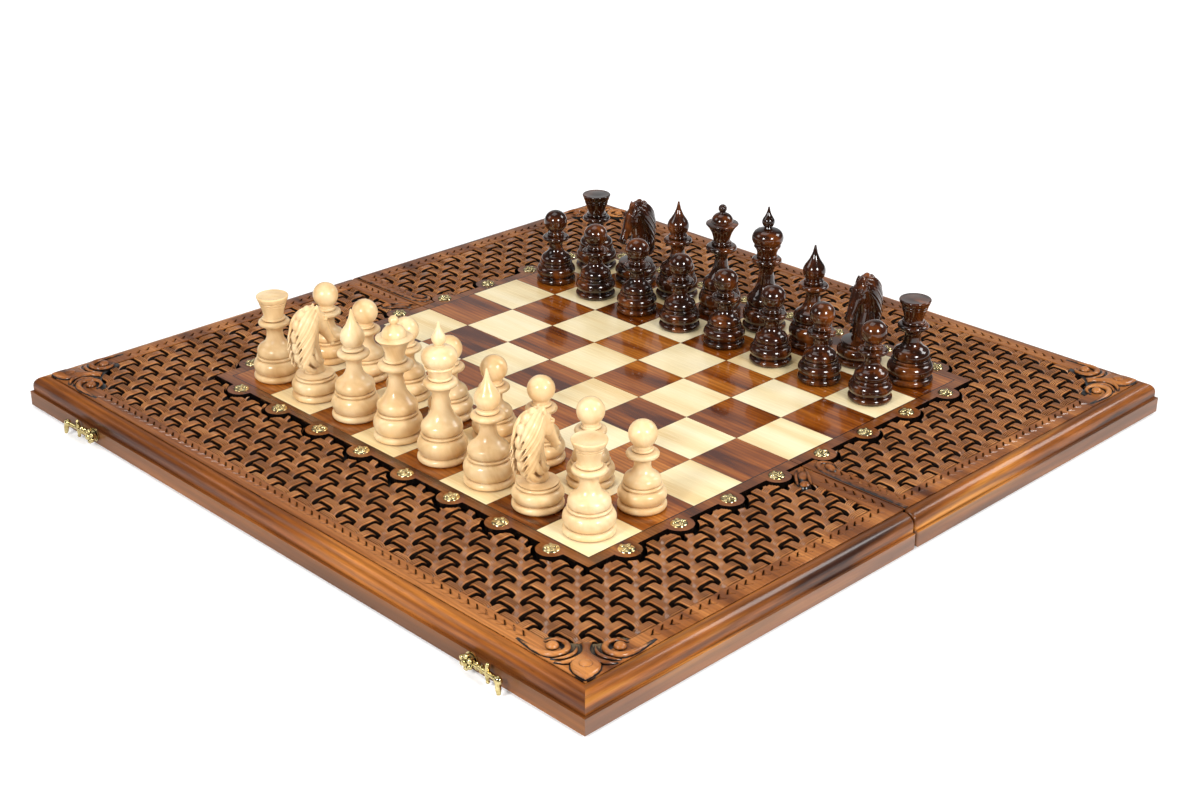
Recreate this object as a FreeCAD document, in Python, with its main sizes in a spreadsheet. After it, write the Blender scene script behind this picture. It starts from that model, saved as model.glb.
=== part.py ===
import FreeCAD, Part
import math
import os
import Sketcher
from FreeCAD import Placement, Rotation, Vector

# Folding chess and backgammon board with its turned men, in millimetres.
# X runs along the seam, the near half lies at negative Y and Z points up.
# The board lies open with its chess side up, on a floor at Z = 0.

doc = FreeCAD.newDocument("ChessBackgammonBoard")
sheet = doc.addObject("Spreadsheet::Sheet", "Sizes")

drivingSizes = (
    ("square", 47.75, "side of a chess square"),
    ("board_length", 600.0, "board along the seam"),
    ("half_width", 300.0, "one half, from seam to outer wall"),
    ("seam_gap", 0.3, "each half stands back from the seam plane"),
    ("rim_gap", 0.1, "rim above the hinge axis"),
    ("wall_height", 11.2, "rim to the ledge under the moulding"),
    ("ledge_width", 2.0, "ledge between wall and moulding"),
    ("rail_width", 12.0, "frame rail across"),
    ("nose_height", 4.8, "upright under the round of the moulding"),
    ("moulding_radius", 8.0, "round of the moulding"),
    ("tray_depth", 11.6, "rim to the backgammon field"),
    ("panel_thickness", 12.7, "carved panel at its border"),
    ("border_step", 1.2, "border above the moulding"),
    ("border_width", 13.8, "carved border along the frame"),
    ("seam_border", 14.0, "carved border along the seam"),
    ("recess_depth", 5.0, "border down to the bed of the weave"),
    ("slat_pitch", 12.56, "columns of the weave"),
    ("slat_row", 12.4, "rows of the weave"),
    ("slat_start", 10.1, "seam border to the first row"),
    ("slat_width", 6.3, "slat of the weave across"),
    ("slat_stride", 13.2, "slat where it lies over its neighbour"),
    ("slat_drop", 0.5, "border down to the top of a slat"),
    ("slat_gap", 1.0, "slat to the border"),
    ("channel_width", 3.6, "slat to the chess field's plate"),
    ("field_relief", 0.5, "chess field above the border"),
    ("field_margin", 8.8, "plain edge outside the squares"),
    ("lobe_radius", 10.2, "scallop round a stud"),
    ("stud_offset", 9.2, "stud centre outside the squares"),
    ("stud_radius", 5.8, "stud head"),
    ("stud_height", 2.4, "dome of the stud"),
    ("shank_radius", 1.5, "nail of the stud"),
    ("shank_length", 3.0, "nail below the head"),
    ("shank_clearance", 0.05, "nail in its hole"),
    ("inlay_thickness", 1.5, "chess square veneer"),
    ("spine_width", 12.0, "rail along the seam"),
    ("point_length", 225.0, "backgammon point"),
    ("point_gap", 2.0, "between backgammon points"),
    ("point_thickness", 1.0, "backgammon point veneer"),
    ("hinge_offset", "=board_length * 0.3", "hinge from the board's middle"),
    ("hinge_length", 36.0, "hinge along the seam"),
    ("leaf_width", 10.0, "hinge leaf across the rim"),
    ("leaf_thickness", 1.2, "hinge leaf"),
    ("knuckle_radius", 1.8, "hinge knuckle"),
    ("knuckle_gap", 0.3, "between neighbouring knuckles"),
    ("knuckle_clearance", 0.3, "round a knuckle in the wood"),
    ("pin_radius", 0.9, "hinge pin"),
    ("pin_clearance", 0.05, "pin or pivot in its hole"),
    ("hook_offset", "=board_length * 0.345", "hook pivot from the board's middle"),
    ("pivot_height", 9.4, "hook pivot above the floor"),
    ("pivot_radius", 1.6, "hook pivot"),
    ("base_radius", 4.0, "plate under a hook"),
    ("base_thickness", 1.5, "plate under a hook, thickness"),
    ("hook_clearance", 0.15, "each side of the hook"),
    ("hook_thickness", 2.5, "hook across"),
    ("rosette_radius", 5.6, "head over the pivot"),
    ("rosette_crown", 2.8, "top of that head, across"),
    ("rosette_height", 3.4, "head over the hook"),
    ("eye_radius", 4.2, "hook round its pivot"),
    ("arm_height", 3.6, "hook arm"),
    ("jaw_radius", 5.2, "hook round its catch"),
    ("finger_reach", 29.0, "pivot to the finger"),
    ("finger_radius", 1.7, "finger of the hook"),
    ("finger_drop", 7.6, "finger below the pivot"),
    ("finger_rise", 4.4, "finger above the pivot"),
    ("catch_height", 10.6, "catch above the floor"),
    ("catch_base_radius", 2.4, "plate under a catch"),
    ("catch_base", 1.0, "plate under a catch, thickness"),
    ("post_radius", 1.5, "catch post"),
    ("post_clearance", 0.4, "post in the jaw"),
    ("knob_radius", 2.3, "head of the catch"),
    ("hardware_reach", 9.0, "hooks and catches stand off the wall"),
    ("pawn_radius", 16.4, "foot of a pawn"),
    ("piece_radius", 17.5, "foot of every other man"),
    ("pawn_height", 62.0, "pawn"),
    ("rook_height", 66.0, "rook"),
    ("knight_height", 71.0, "knight"),
    ("bishop_height", 82.0, "bishop"),
    ("queen_height", 91.0, "queen"),
    ("king_height", 101.0, "king"),
    ("knight_thickness", 13.0, "horse's head across"),
)
for row, (alias, number, note) in enumerate(drivingSizes, start=1):
    sheet.set(f"A{row}", note)
    sheet.set(f"B{row}", str(number))
    sheet.setAlias(f"B{row}", alias)
doc.recompute()

# Places that several pieces share, as formulas of the sheet
axisZ = "Sizes.knuckle_radius"
rimZ = f"({axisZ} + Sizes.rim_gap)"
ledgeZ = f"({rimZ} + Sizes.wall_height)"
panelZ = f"({rimZ} + Sizes.tray_depth)"
borderZ = f"({panelZ} + Sizes.panel_thickness)"
mouldingZ = f"({borderZ} - Sizes.border_step)"
noseZ = f"({ledgeZ} + Sizes.nose_height)"
recessZ = f"({borderZ} - Sizes.recess_depth)"
slatZ = f"({borderZ} - Sizes.slat_drop)"
fieldZ = f"({borderZ} + Sizes.field_relief)"
outerX = "(Sizes.board_length / 2)"
outerY = "Sizes.half_width"
innerX = f"({outerX} - Sizes.rail_width)"
innerY = f"({outerY} - Sizes.rail_width)"
noseX = f"({outerX} - Sizes.ledge_width)"
noseY = f"({outerY} - Sizes.ledge_width)"
sunkX = f"({innerX} - Sizes.border_width)"
sunkY = f"({innerY} - Sizes.border_width)"
spineY = "(Sizes.seam_gap + Sizes.spine_width)"
fieldHalf = "(Sizes.square * 4)"
plateHalf = f"({fieldHalf} + Sizes.field_margin)"
studLine = f"({fieldHalf} + Sizes.stud_offset)"
hookY = f"({outerY} + Sizes.base_thickness + Sizes.hook_clearance)"
rosetteY = f"({hookY} + Sizes.hook_thickness + Sizes.hook_clearance)"
reachY = f"({outerY} + Sizes.hardware_reach)"
jawReach = f"(Sizes.pivot_height + Sizes.catch_height - 2 * {axisZ})"
slotHalf = "(Sizes.post_radius + Sizes.post_clearance)"
knuckleLength = "((Sizes.hinge_length - 2 * Sizes.knuckle_gap) / 3)"

halves = (("near", 0.0), ("far", 180.0))
sides = (("left", -1), ("right", 1))
towardsFront = Vector(0, -1, 0)
towardsBack = Vector(0, 1, 0)
alongSeam = Vector(1, 0, 0)
nodes = []


def value(formula):
    return float(sheet.evalExpression(formula))


def turned(angle):
    return Placement(Vector(0, 0, 0), Rotation(Vector(0, 0, 1), angle))


def keep(piece, label, angle=0.0):
    piece.Label = label
    piece.Placement = turned(angle)
    nodes.append(piece)


def place(piece, corner):
    for axis, formula in zip("xyz", corner):
        piece.setExpression(f"Placement.Base.{axis}", formula)
    return piece


def block(name, low, high):
    piece = doc.addObject("Part::Box", name)
    for side, start, end in zip(("Length", "Width", "Height"), low, high):
        piece.setExpression(side, f"({end}) - ({start})")
    return place(piece, low)


def rod(name, radius, length, start, direction=Vector(0, 0, 1)):
    piece = doc.addObject("Part::Cylinder", name)
    piece.Placement.Rotation = Rotation(Vector(0, 0, 1), direction)
    piece.setExpression("Radius", radius)
    piece.setExpression("Height", length)
    return place(piece, start)


def joined(name, pieces):
    piece = doc.addObject("Part::MultiFuse", name)
    piece.Shapes = pieces
    return piece


def carved(name, base, tools):
    piece = doc.addObject("Part::Cut", name)
    piece.Base = base
    piece.Tool = tools[0] if len(tools) == 1 else joined(f"{name}_tools", tools)
    return piece


def shared(name, first, second):
    piece = doc.addObject("Part::Common", name)
    piece.Base = first
    piece.Tool = second
    return piece


def grouped(name, pieces):
    piece = doc.addObject("Part::Compound", name)
    piece.Links = pieces
    return piece


def shaped(name, shapes):
    piece = doc.addObject("Part::Feature", name)
    piece.Shape = Part.makeCompound(shapes)
    return piece


# Closed sketch outlines, corner by corner, with their places bound to the sheet
def originSketch(body, name, role):
    sketch = body.newObject("Sketcher::SketchObject", name)
    plane = [f for f in body.Origin.OriginFeatures if f.Role == role][0]
    sketch.AttachmentSupport = [(plane, "")]
    sketch.MapMode = "FlatFace"
    return sketch


def arcMiddle(start, end, radius):
    chord = end - start
    sagitta = radius - math.sqrt(radius ** 2 - chord.Length ** 2 / 4)
    outward = Vector(chord.y, -chord.x, 0).normalize()
    return (start + end) * 0.5 + outward * sagitta


def boundConstraint(sketch, formula, *what):
    index = sketch.addConstraint(Sketcher.Constraint(*what, value(formula)))
    sketch.setExpression(f"Constraints[{index}]", formula)


def outline(sketch, corners, roundEdge=None, radius=None):
    points = [Vector(value(x), value(y), 0) for x, y in corners]
    ends = points[1:] + points[:1]
    edges = []
    for k, (start, end) in enumerate(zip(points, ends)):
        if k == roundEdge:
            curve = Part.Arc(start, arcMiddle(start, end, value(radius)), end)
        else:
            curve = Part.LineSegment(start, end)
        edges.append(sketch.addGeometry(curve, False))
    for k, edge in enumerate(edges):
        following = edges[(k + 1) % len(edges)]
        sketch.addConstraint(Sketcher.Constraint("Coincident", edge, 2, following, 1))
        boundConstraint(sketch, corners[k][0], "DistanceX", -1, 1, edge, 1)
        boundConstraint(sketch, corners[k][1], "DistanceY", -1, 1, edge, 1)
    if roundEdge is not None:
        boundConstraint(sketch, radius, "Radius", edges[roundEdge])


# Frame rails: wall, ledge and rounded moulding, mitred at the outer corners
def rail(name, role, profile, roundEdge, length, mitres, start=None):
    body = doc.addObject("PartDesign::Body", name)
    section = originSketch(body, f"{name}_section", role)
    outline(section, profile, roundEdge, "Sizes.moulding_radius")
    pad = body.newObject("PartDesign::Pad", f"{name}_run")
    pad.Profile = section
    pad.setExpression("Length", length)
    if start is None:
        pad.SideType = "Symmetric"
    else:
        section.setExpression("AttachmentOffset.Base.z", start)
    doc.recompute()
    square = body.Shape.Volume
    ends = originSketch(body, f"{name}_ends", "XY_Plane")
    for mitre in mitres:
        outline(ends, mitre)
    pocket = body.newObject("PartDesign::Pocket", f"{name}_mitres")
    pocket.Profile = ends
    pocket.Type = "ThroughAll"
    pocket.Reversed = True
    doc.recompute()
    if not body.Shape.Volume < square:
        raise RuntimeError(f"{name}: the mitres cut nothing")
    return body


def leftProfile(outer, inner, nose):
    return (
        (f"-{outer}", rimZ),
        (f"-{inner}", rimZ),
        (f"-{inner}", mouldingZ),
        (f"-{nose}", noseZ),
        (f"-{nose}", ledgeZ),
        (f"-{outer}", ledgeZ),
    )


def rightProfile(outer, inner, nose):
    return (
        (inner, rimZ),
        (outer, rimZ),
        (outer, ledgeZ),
        (nose, ledgeZ),
        (nose, noseZ),
        (inner, mouldingZ),
    )


def outerRail(half, angle):
    rightEnd = ((outerX, f"-{outerY}"), (outerX, f"-{innerY}"), (innerX, f"-{innerY}"))
    leftEnd = tuple((f"-{x}", y) for x, y in rightEnd)
    profile = leftProfile(outerY, innerY, noseY)
    body = rail(f"{half}_outer_rail", "YZ_Plane", profile, 2, "Sizes.board_length", (rightEnd, leftEnd))
    keep(body, f"{half}_outer_rail", angle)


def sideRails(half, angle):
    corner = ((outerX, f"-{outerY}"), (innerX, f"-{outerY}"), (innerX, f"-{innerY}"))
    mirrored = tuple((f"-{x}", y) for x, y in corner)
    run = "Sizes.half_width - Sizes.seam_gap"
    right = rail(f"{half}_right_rail", "XZ_Plane", rightProfile(outerX, innerX, noseX), 4,
                 run, (corner,), "Sizes.seam_gap")
    left = rail(f"{half}_left_rail", "XZ_Plane", leftProfile(outerX, innerX, noseX), 2,
                run, (mirrored,), "Sizes.seam_gap")
    keep(grouped(f"{half}_side_rails", [left, right]), f"{half}_side_rails", angle)


# Rail along the seam, with mortises for the hinge leaves and room for the knuckles
def spineRail(half, angle):
    name = f"{half}_spine_rail"
    bar = block(f"{name}_bar", (f"-{innerX}", f"-{spineY}", rimZ), (innerX, "-Sizes.seam_gap", panelZ))
    tools = []
    for side, sign in sides:
        middle = f"({sign} * Sizes.hinge_offset)"
        low = f"{middle} - Sizes.hinge_length / 2"
        high = f"{middle} + Sizes.hinge_length / 2"
        leafY = "-(Sizes.seam_gap + Sizes.leaf_width)"
        tools.append(block(f"{name}_{side}_mortise", (low, leafY, rimZ),
                           (high, "-Sizes.seam_gap", f"{rimZ} + Sizes.leaf_thickness")))
        tools.append(rod(f"{name}_{side}_hollow", "Sizes.knuckle_radius + Sizes.knuckle_clearance",
                         "Sizes.hinge_length + 2 * Sizes.knuckle_gap",
                         (f"{low} - Sizes.knuckle_gap", "0", axisZ), alongSeam))
    keep(carved(name, bar, tools), name, angle)


# Backgammon points, six at each end of a tray, set flush into the field
def pointPrism(end, order):
    width = (value(innerY) - value(spineY)) / 6
    middle = -(value(spineY) + (order + 0.5) * width)
    reach = width / 2 - value("Sizes.point_gap") / 2
    base = end * value(innerX)
    tip = Vector(end * (value(innerX) - value("Sizes.point_length")), middle, 0)
    corners = [Vector(base, middle - reach, 0), Vector(base, middle + reach, 0), tip]
    face = Part.Face(Part.makePolygon(corners + corners[:1]))
    face.translate(Vector(0, 0, value(panelZ)))
    return face.extrude(Vector(0, 0, value("Sizes.point_thickness")))


def points(half, angle, tone, start):
    prisms = []
    for end in (-1, 1):
        first = start if end > 0 else 1 - start
        prisms += [pointPrism(end, order) for order in range(first, 6, 2)]
    inlay = shaped(f"{half}_{tone}_point_inlay", prisms)
    keep(grouped(f"{half}_{tone}_points", [inlay]), f"{half}_{tone}_points", angle)
    return inlay


# Studs stand along the three outer sides of a half's chess field.
def studSpots():
    along = [(f"({k} - 3.5) * Sizes.square", f"-{studLine}") for k in range(8)]
    across = [(f"{sign} * {studLine}", f"-({k} + 0.5) * Sizes.square")
              for sign in (-1, 1) for k in range(4)]
    return along + across


# Basket weave: where a slat lies over its neighbour, it stands up from the sunk bed
def rectangle(left, right, low, high):
    level = value(recessZ)
    corners = [Vector(x, y, level) for x, y in ((left, low), (right, low), (right, high), (left, high))]
    return Part.makePolygon(corners + corners[:1])


def meetsField(left, right, low, high, plate, lobe, spots):
    if left < plate and right > -plate and high > -plate:
        return True
    for x, y in spots:
        aside, beyond = max(left - x, x - right, 0), max(low - y, y - high, 0)
        if math.hypot(aside, beyond) < lobe:
            return True
    return False


def strides(parity):
    stride, width = value("Sizes.slat_stride"), value("Sizes.slat_width")
    pitch, row = value("Sizes.slat_pitch"), value("Sizes.slat_row")
    first = value("Sizes.seam_border + Sizes.slat_start")
    gap = value("Sizes.slat_gap")
    endX, endY, seamY = value(sunkX) - gap, value(sunkY) - gap, value("Sizes.seam_border") + gap
    plate = value(f"{plateHalf} + Sizes.channel_width")
    lobe = value("Sizes.lobe_radius + Sizes.channel_width")
    spots = [(value(x), value(y)) for x, y in studSpots()]
    columns, rows = int(endX / pitch) + 1, int((endY - first) / row) + 2
    wires = []
    for j in range(rows):
        for k in range(-columns, columns):
            along, across = (stride, width) if (k + j) % 2 == parity else (width, stride)
            x, y = (k + 0.5) * pitch, -(first + j * row)
            left, right = max(x - along / 2, -endX), min(x + along / 2, endX)
            low, high = max(y - across / 2, -endY), min(y + across / 2, -seamY)
            if min(right - left, high - low) < width / 3:
                continue
            if not meetsField(left, right, low, high, plate, lobe, spots):
                wires.append(rectangle(left, right, low, high))
    return wires


def weaveGround(half, parity):
    border = rectangle(-value(sunkX), value(sunkX), -value(sunkY), -value("Sizes.seam_border"))
    face = Part.makeFace([border] + strides(parity), "Part::FaceMakerBullseye")
    return shaped(f"{half}_weave_ground", [face.extrude(Vector(0, 0, value(borderZ) - value(recessZ)))])


# Carved panel: raised border round the sunk weave, chess side up, backgammon field below
def carvedPanel(half, angle, parity, inlays):
    name = f"{half}_carved_panel"
    board = block(f"{name}_board", (f"-{innerX}", f"-{innerY}", panelZ),
                  (innerX, "-Sizes.seam_gap", borderZ))
    hollow = block(f"{name}_hollow", (f"-{sunkX}", f"-{sunkY}", slatZ),
                   (sunkX, "-Sizes.seam_border", borderZ))
    # The middle reaches the seam under the chess field.
    bed = block(f"{name}_bed", (f"-{plateHalf}", f"-{plateHalf}", recessZ),
                (plateHalf, "-Sizes.seam_gap", borderZ))
    slab = carved(f"{name}_slab", board, [hollow, bed] + inlays)
    keep(carved(name, slab, [weaveGround(half, parity)]), name, angle)


# Scalloped plate that carries the squares, with a stud in every lobe
def scallopedBorder(half, angle):
    name = f"{half}_scalloped_border"
    solids = [block(f"{name}_plate", (f"-{plateHalf}", f"-{plateHalf}", recessZ),
                    (plateHalf, "-Sizes.seam_gap", fieldZ))]
    sunkZ = f"{fieldZ} - Sizes.inlay_thickness"
    tools = [block(f"{name}_field", (f"-{fieldHalf}", f"-{fieldHalf}", sunkZ),
                   (fieldHalf, "-Sizes.seam_gap", fieldZ))]
    for k, (x, y) in enumerate(studSpots()):
        solids.append(rod(f"{name}_lobe_{k}", "Sizes.lobe_radius", f"{fieldZ} - {recessZ}",
                          (x, y, recessZ)))
        tools.append(rod(f"{name}_hole_{k}", "Sizes.shank_radius + Sizes.shank_clearance",
                         "Sizes.shank_length", (x, y, f"{fieldZ} - Sizes.shank_length")))
    keep(carved(name, joined(f"{name}_outline", solids), tools), name, angle)


def studPattern():
    domeRadius = "((Sizes.stud_radius ^ 2 + Sizes.stud_height ^ 2) / (2 * Sizes.stud_height))"
    dome = doc.addObject("Part::Sphere", "stud_dome")
    dome.setExpression("Radius", domeRadius)
    dome.setExpression("Angle1", f"asin(({domeRadius} - Sizes.stud_height) / {domeRadius})")
    place(dome, ("0", "0", f"Sizes.stud_height - {domeRadius}"))
    shank = rod("stud_shank", "Sizes.shank_radius", "Sizes.shank_length",
                ("0", "0", "-Sizes.shank_length"))
    pattern = joined("stud_pattern", [dome, shank])
    doc.recompute()
    return pattern


def brassStuds(half, angle, pattern):
    studs = []
    for x, y in studSpots():
        stud = pattern.Shape.copy()
        stud.translate(Vector(value(x), value(y), value(fieldZ)))
        studs.append(stud)
    keep(shaped(f"{half}_brass_studs", studs), f"{half}_brass_studs", angle)


# Chess squares, light where column and row add up to an even number
def squares(half, angle, tone, parity):
    name = f"{half}_{tone}_squares"
    tiles = []
    for column in range(8):
        for line in range(4):
            if (column + line) % 2 != parity:
                continue
            seamSide = "Sizes.seam_gap" if line == 0 else f"{line} * Sizes.square"
            low = (f"({column} - 4) * Sizes.square", f"-({line} + 1) * Sizes.square",
                   f"{fieldZ} - Sizes.inlay_thickness")
            high = (f"({column} - 3) * Sizes.square", f"-({seamSide})", fieldZ)
            tiles.append(block(f"{name}_{column}_{line}", low, high))
    keep(grouped(name, tiles), name, angle)


# Butt hinges in the rims: two knuckles on the near leaf, one on the far leaf
def hingeLeaves(half, angle, knuckleStarts):
    name = f"{half}_hinge_leaves"
    leaves = []
    for side, sign in sides:
        middle = f"({sign} * Sizes.hinge_offset)"
        low = f"{middle} - Sizes.hinge_length / 2"
        clearY = "-(Sizes.knuckle_radius + Sizes.knuckle_clearance)"
        top = f"{rimZ} + Sizes.leaf_thickness"
        metal = [block(f"{name}_{side}_plate", (low, "-(Sizes.seam_gap + Sizes.leaf_width)", rimZ),
                       (f"{middle} + Sizes.hinge_length / 2", clearY, top))]
        for k, offset in enumerate(knuckleStarts):
            start = f"{low} + {offset}"
            metal.append(rod(f"{name}_{side}_knuckle_{k}", "Sizes.knuckle_radius", knuckleLength,
                             (start, "0", axisZ), alongSeam))
            metal.append(block(f"{name}_{side}_web_{k}", (start, clearY, rimZ),
                               (f"{start} + {knuckleLength}", "0", top)))
        bore = rod(f"{name}_{side}_bore", "Sizes.pin_radius + Sizes.pin_clearance", "Sizes.hinge_length",
                   (low, "0", axisZ), alongSeam)
        leaves.append(carved(f"{name}_{side}", joined(f"{name}_{side}_metal", metal), [bore]))
    keep(grouped(name, leaves), name, angle)


def hingePins():
    pins = [rod(f"{side}_hinge_pin", "Sizes.pin_radius", "Sizes.hinge_length",
                (f"{sign} * Sizes.hinge_offset - Sizes.hinge_length / 2", "0", axisZ), alongSeam)
            for side, sign in sides]
    keep(grouped("hinge_pins", pins), "hinge_pins")


# Swing hooks on the near wall and the catches that they take on the far wall
def hookPlates():
    plates = []
    for side, sign in sides:
        x = f"{sign} * Sizes.hook_offset"
        base = rod(f"{side}_hook_base", "Sizes.base_radius", "Sizes.base_thickness",
                   (x, f"-{outerY}", "Sizes.pivot_height"), towardsFront)
        pivot = rod(f"{side}_hook_pivot", "Sizes.pivot_radius", f"{rosetteY} - {outerY}",
                    (x, f"-{outerY}", "Sizes.pivot_height"), towardsFront)
        head = doc.addObject("Part::Cone", f"{side}_hook_rosette")
        head.Placement.Rotation = Rotation(Vector(0, 0, 1), towardsFront)
        head.setExpression("Radius1", "Sizes.rosette_radius")
        head.setExpression("Radius2", "Sizes.rosette_crown")
        head.setExpression("Height", "Sizes.rosette_height")
        place(head, (x, f"-{rosetteY}", "Sizes.pivot_height"))
        plates.append(joined(f"{side}_hook_plate", [base, pivot, head]))
    keep(grouped("hook_plates", plates), "hook_plates")


def swingHook(side, sign):
    name = f"{side}_hook"
    pivot = f"({sign} * Sizes.hook_offset)"
    jaw = f"({pivot} + {sign} * {jawReach})"
    finger = f"({pivot} + {sign} * Sizes.finger_reach)"
    height = "Sizes.pivot_height"
    fingerY = f"({reachY} - Sizes.finger_radius)"
    left, right = sorted((pivot, finger), key=value)

    def plate(word, radius, x):
        return rod(f"{name}_{word}", radius, "Sizes.hook_thickness",
                   (x, f"-{hookY}", height), towardsFront)

    frontY = f"-({hookY} + Sizes.hook_thickness)"
    arm = block(f"{name}_arm", (left, frontY, f"{height} - Sizes.arm_height / 2"),
                (right, f"-{hookY}", f"{height} + Sizes.arm_height / 2"))
    stem = rod(f"{name}_stem", "Sizes.finger_radius", f"{fingerY} - {hookY}",
               (finger, f"-{hookY}", height), towardsFront)
    grip = rod(f"{name}_finger", "Sizes.finger_radius", "Sizes.finger_drop + Sizes.finger_rise",
               (finger, f"-{fingerY}", f"{height} - Sizes.finger_drop"))
    metal = joined(f"{name}_metal", [plate("eye", "Sizes.eye_radius", pivot), arm,
                                     plate("jaw", "Sizes.jaw_radius", jaw), stem, grip])
    # The slot follows the catch post's path as the hook swings down over it.
    ring = carved(f"{name}_path", plate("path_outside", f"{jawReach} + {slotHalf}", pivot),
                  [plate("path_inside", f"{jawReach} - {slotHalf}", pivot)])
    reach = f"({pivot} + {sign} * ({jawReach} + {slotHalf}))"
    low, high = sorted((pivot, reach), key=value)
    below = block(f"{name}_below", (low, frontY, f"{height} - {jawReach} - {slotHalf}"),
                  (high, f"-{hookY}", height))
    tools = [plate("hole", "Sizes.pivot_radius + Sizes.pin_clearance", pivot),
             plate("seat", slotHalf, jaw), shared(f"{name}_slot", ring, below)]
    keep(carved(name, metal, tools), name)


def catchPosts():
    posts = []
    for side, sign in sides:
        x = f"{sign} * Sizes.hook_offset"
        knobY = f"({rosetteY} + 2 * Sizes.hook_clearance)"
        base = rod(f"{side}_catch_base", "Sizes.catch_base_radius", "Sizes.catch_base",
                   (x, outerY, "Sizes.catch_height"), towardsBack)
        post = rod(f"{side}_catch_post", "Sizes.post_radius", f"{knobY} - {outerY}",
                   (x, outerY, "Sizes.catch_height"), towardsBack)
        knob = rod(f"{side}_catch_knob", "Sizes.knob_radius", f"{reachY} - {knobY}",
                   (x, knobY, "Sizes.catch_height"), towardsBack)
        posts.append(joined(f"{side}_catch", [base, post, knob]))
    keep(grouped("catch_posts", posts), "catch_posts")


# Turned men: each outline climbs from the foot to the top, as radius and height.
# A pair ends a straight run, four numbers are the middle and the end of an arc,
# and a single number is the height where a dome closes on the axis.
drawnRadius = {"pawn": 16.4, "piece": 17.5}
footTop = 17.9
footLift = {"pawn": 1.5, "rook": 1.4, "knight": 0.0, "bishop": 3.2, "queen": 3.4, "king": 3.4}
upperOutlines = {
    "pawn": [
        (12.9, 22.2, 10.6, 24.6), (6.6, 28.0, 5.6, 31.6), (6.6, 34.8, 8.9, 36.6),
        (11.0, 38.4, 8.7, 40.0), (6.6, 40.6), (7.2, 41.6, 5.9, 42.6), (5.6, 43.2), (5.6, 44.6),
        (62.0,),
    ],
    "rook": [
        (13.9, 22.6, 11.6, 26.2), (7.4, 30.0, 6.3, 34.5), (6.9, 39.6, 9.4, 42.0),
        (11.6, 44.0, 9.5, 46.0), (8.0, 46.3), (8.7, 47.4, 7.7, 48.5), (7.4, 50.5),
        (9.2, 56.2, 11.9, 64.2), (11.5, 65.0, 10.6, 65.3), (66.0,),
    ],
    "bishop": [
        (14.3, 24.6, 11.8, 28.6), (7.2, 33.4, 5.7, 39.4), (6.4, 44.2, 9.2, 46.4),
        (11.6, 48.5, 9.4, 50.6), (7.2, 51.0), (7.9, 52.4, 6.6, 53.8), (6.0, 54.4),
        (8.8, 60.5, 7.0, 66.5), (3.1, 72.8, 0.9, 80.8), (82.0,),
    ],
    "queen": [
        (14.4, 24.8, 12.2, 28.8), (7.6, 34.8, 5.4, 43.6), (6.2, 49.6, 9.8, 52.2),
        (12.4, 55.0, 9.9, 57.2), (7.6, 57.6), (8.3, 58.8, 7.0, 60.0), (6.6, 60.8),
        (8.2, 67.5, 12.6, 74.2), (13.1, 75.0, 12.4, 75.7), (8.9, 76.6), (7.0, 81.5, 2.9, 84.0),
        (2.5, 84.6), (2.5, 85.3), (91.0,),
    ],
    "king": [
        (14.4, 24.8, 12.2, 28.8), (8.2, 34.8, 6.4, 43.6), (7.1, 51.8, 9.6, 54.4),
        (11.9, 57.0, 9.6, 59.2), (7.6, 59.6), (8.3, 60.7, 7.6, 61.8), (7.8, 62.4),
        (8.3, 65.0, 9.6, 67.6), (10.5, 68.7, 9.8, 69.8), (9.9, 70.2), (12.3, 76.6, 8.0, 82.2),
        (3.4, 83.6), (3.0, 84.6), (5.0, 88.6, 3.6, 92.2), (1.8, 95.8, 0.7, 100.4),
        (101.0,),
    ],
    "knight": [(13.8, 18.4), (20.0,)],
}

# The horse's head in side view, from the nape over ear, nose, chin and chest, with forward as radius
horseStart = (-8.0, 17.5)
horseTop = (3.0, 71.0)
horseOutline = [
    (-8.2, 22.6), (-13.6, 24.8), (-16.8, 30.8, -17.4, 38.0), (-17.2, 50.6, -13.6, 60.6),
    (-8.4, 67.8, -1.2, 69.0), horseTop, (6.4, 65.4), (12.4, 55.2), (18.4, 41.6),
    (18.9, 38.0, 16.4, 36.2), (12.6, 36.9), (9.0, 44.4), (5.0, 49.4), (3.5, 41.6, 5.2, 33.0),
    (7.8, 22.0), (8.0, 17.5),
]


def rank(kind):
    return "pawn" if kind == "pawn" else "piece"


def footOutline(kind):
    r, lift = drawnRadius[rank(kind)], footLift[kind]
    return [
        (r - 1.5, 0.0), (r, 2.3, r - 1.2, 4.8), (r - 1.9, 5.3), (r - 1.7, 5.9),
        (r - 0.1, 10.0 + lift / 2, r - 2.1, 14.2 + lift), (r - 2.9, 14.6 + lift), (r - 2.9, 15.2 + lift),
        (r - 2.3, 16.1 + lift, r - 3.0, 17.0 + lift), (r - 3.5, 17.3 + lift), (r - 3.2, footTop + lift),
    ]


def domeMiddle(start, top):
    rise = top.z - start.z
    radius = (start.x ** 2 + rise ** 2) / (2 * rise)
    centre = top.z - radius
    angle = (math.atan2(start.z - centre, start.x) + math.pi / 2) / 2
    return Vector(radius * math.cos(angle), 0, centre + radius * math.sin(angle))


def traced(start, steps, point):
    here = point(*start)
    edges = []
    for step in steps:
        end = point(*step[-2:]) if len(step) > 1 else point(0.0, *step)
        if len(step) == 2:
            edges.append(Part.makeLine(here, end))
        else:
            middle = point(*step[:2]) if len(step) > 1 else domeMiddle(here, end)
            edges.append(Part.Arc(here, middle, end).toShape())
        here = end
    edges.append(Part.makeLine(here, point(*start)))
    return Part.Face(Part.Wire(edges))


def widened(kind):
    return value(f"Sizes.{rank(kind)}_radius") / drawnRadius[rank(kind)]


def climb(kind, height, stretch):
    bottom = footTop + footLift[kind]
    return bottom + (height - bottom) * stretch if height > bottom else height


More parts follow.
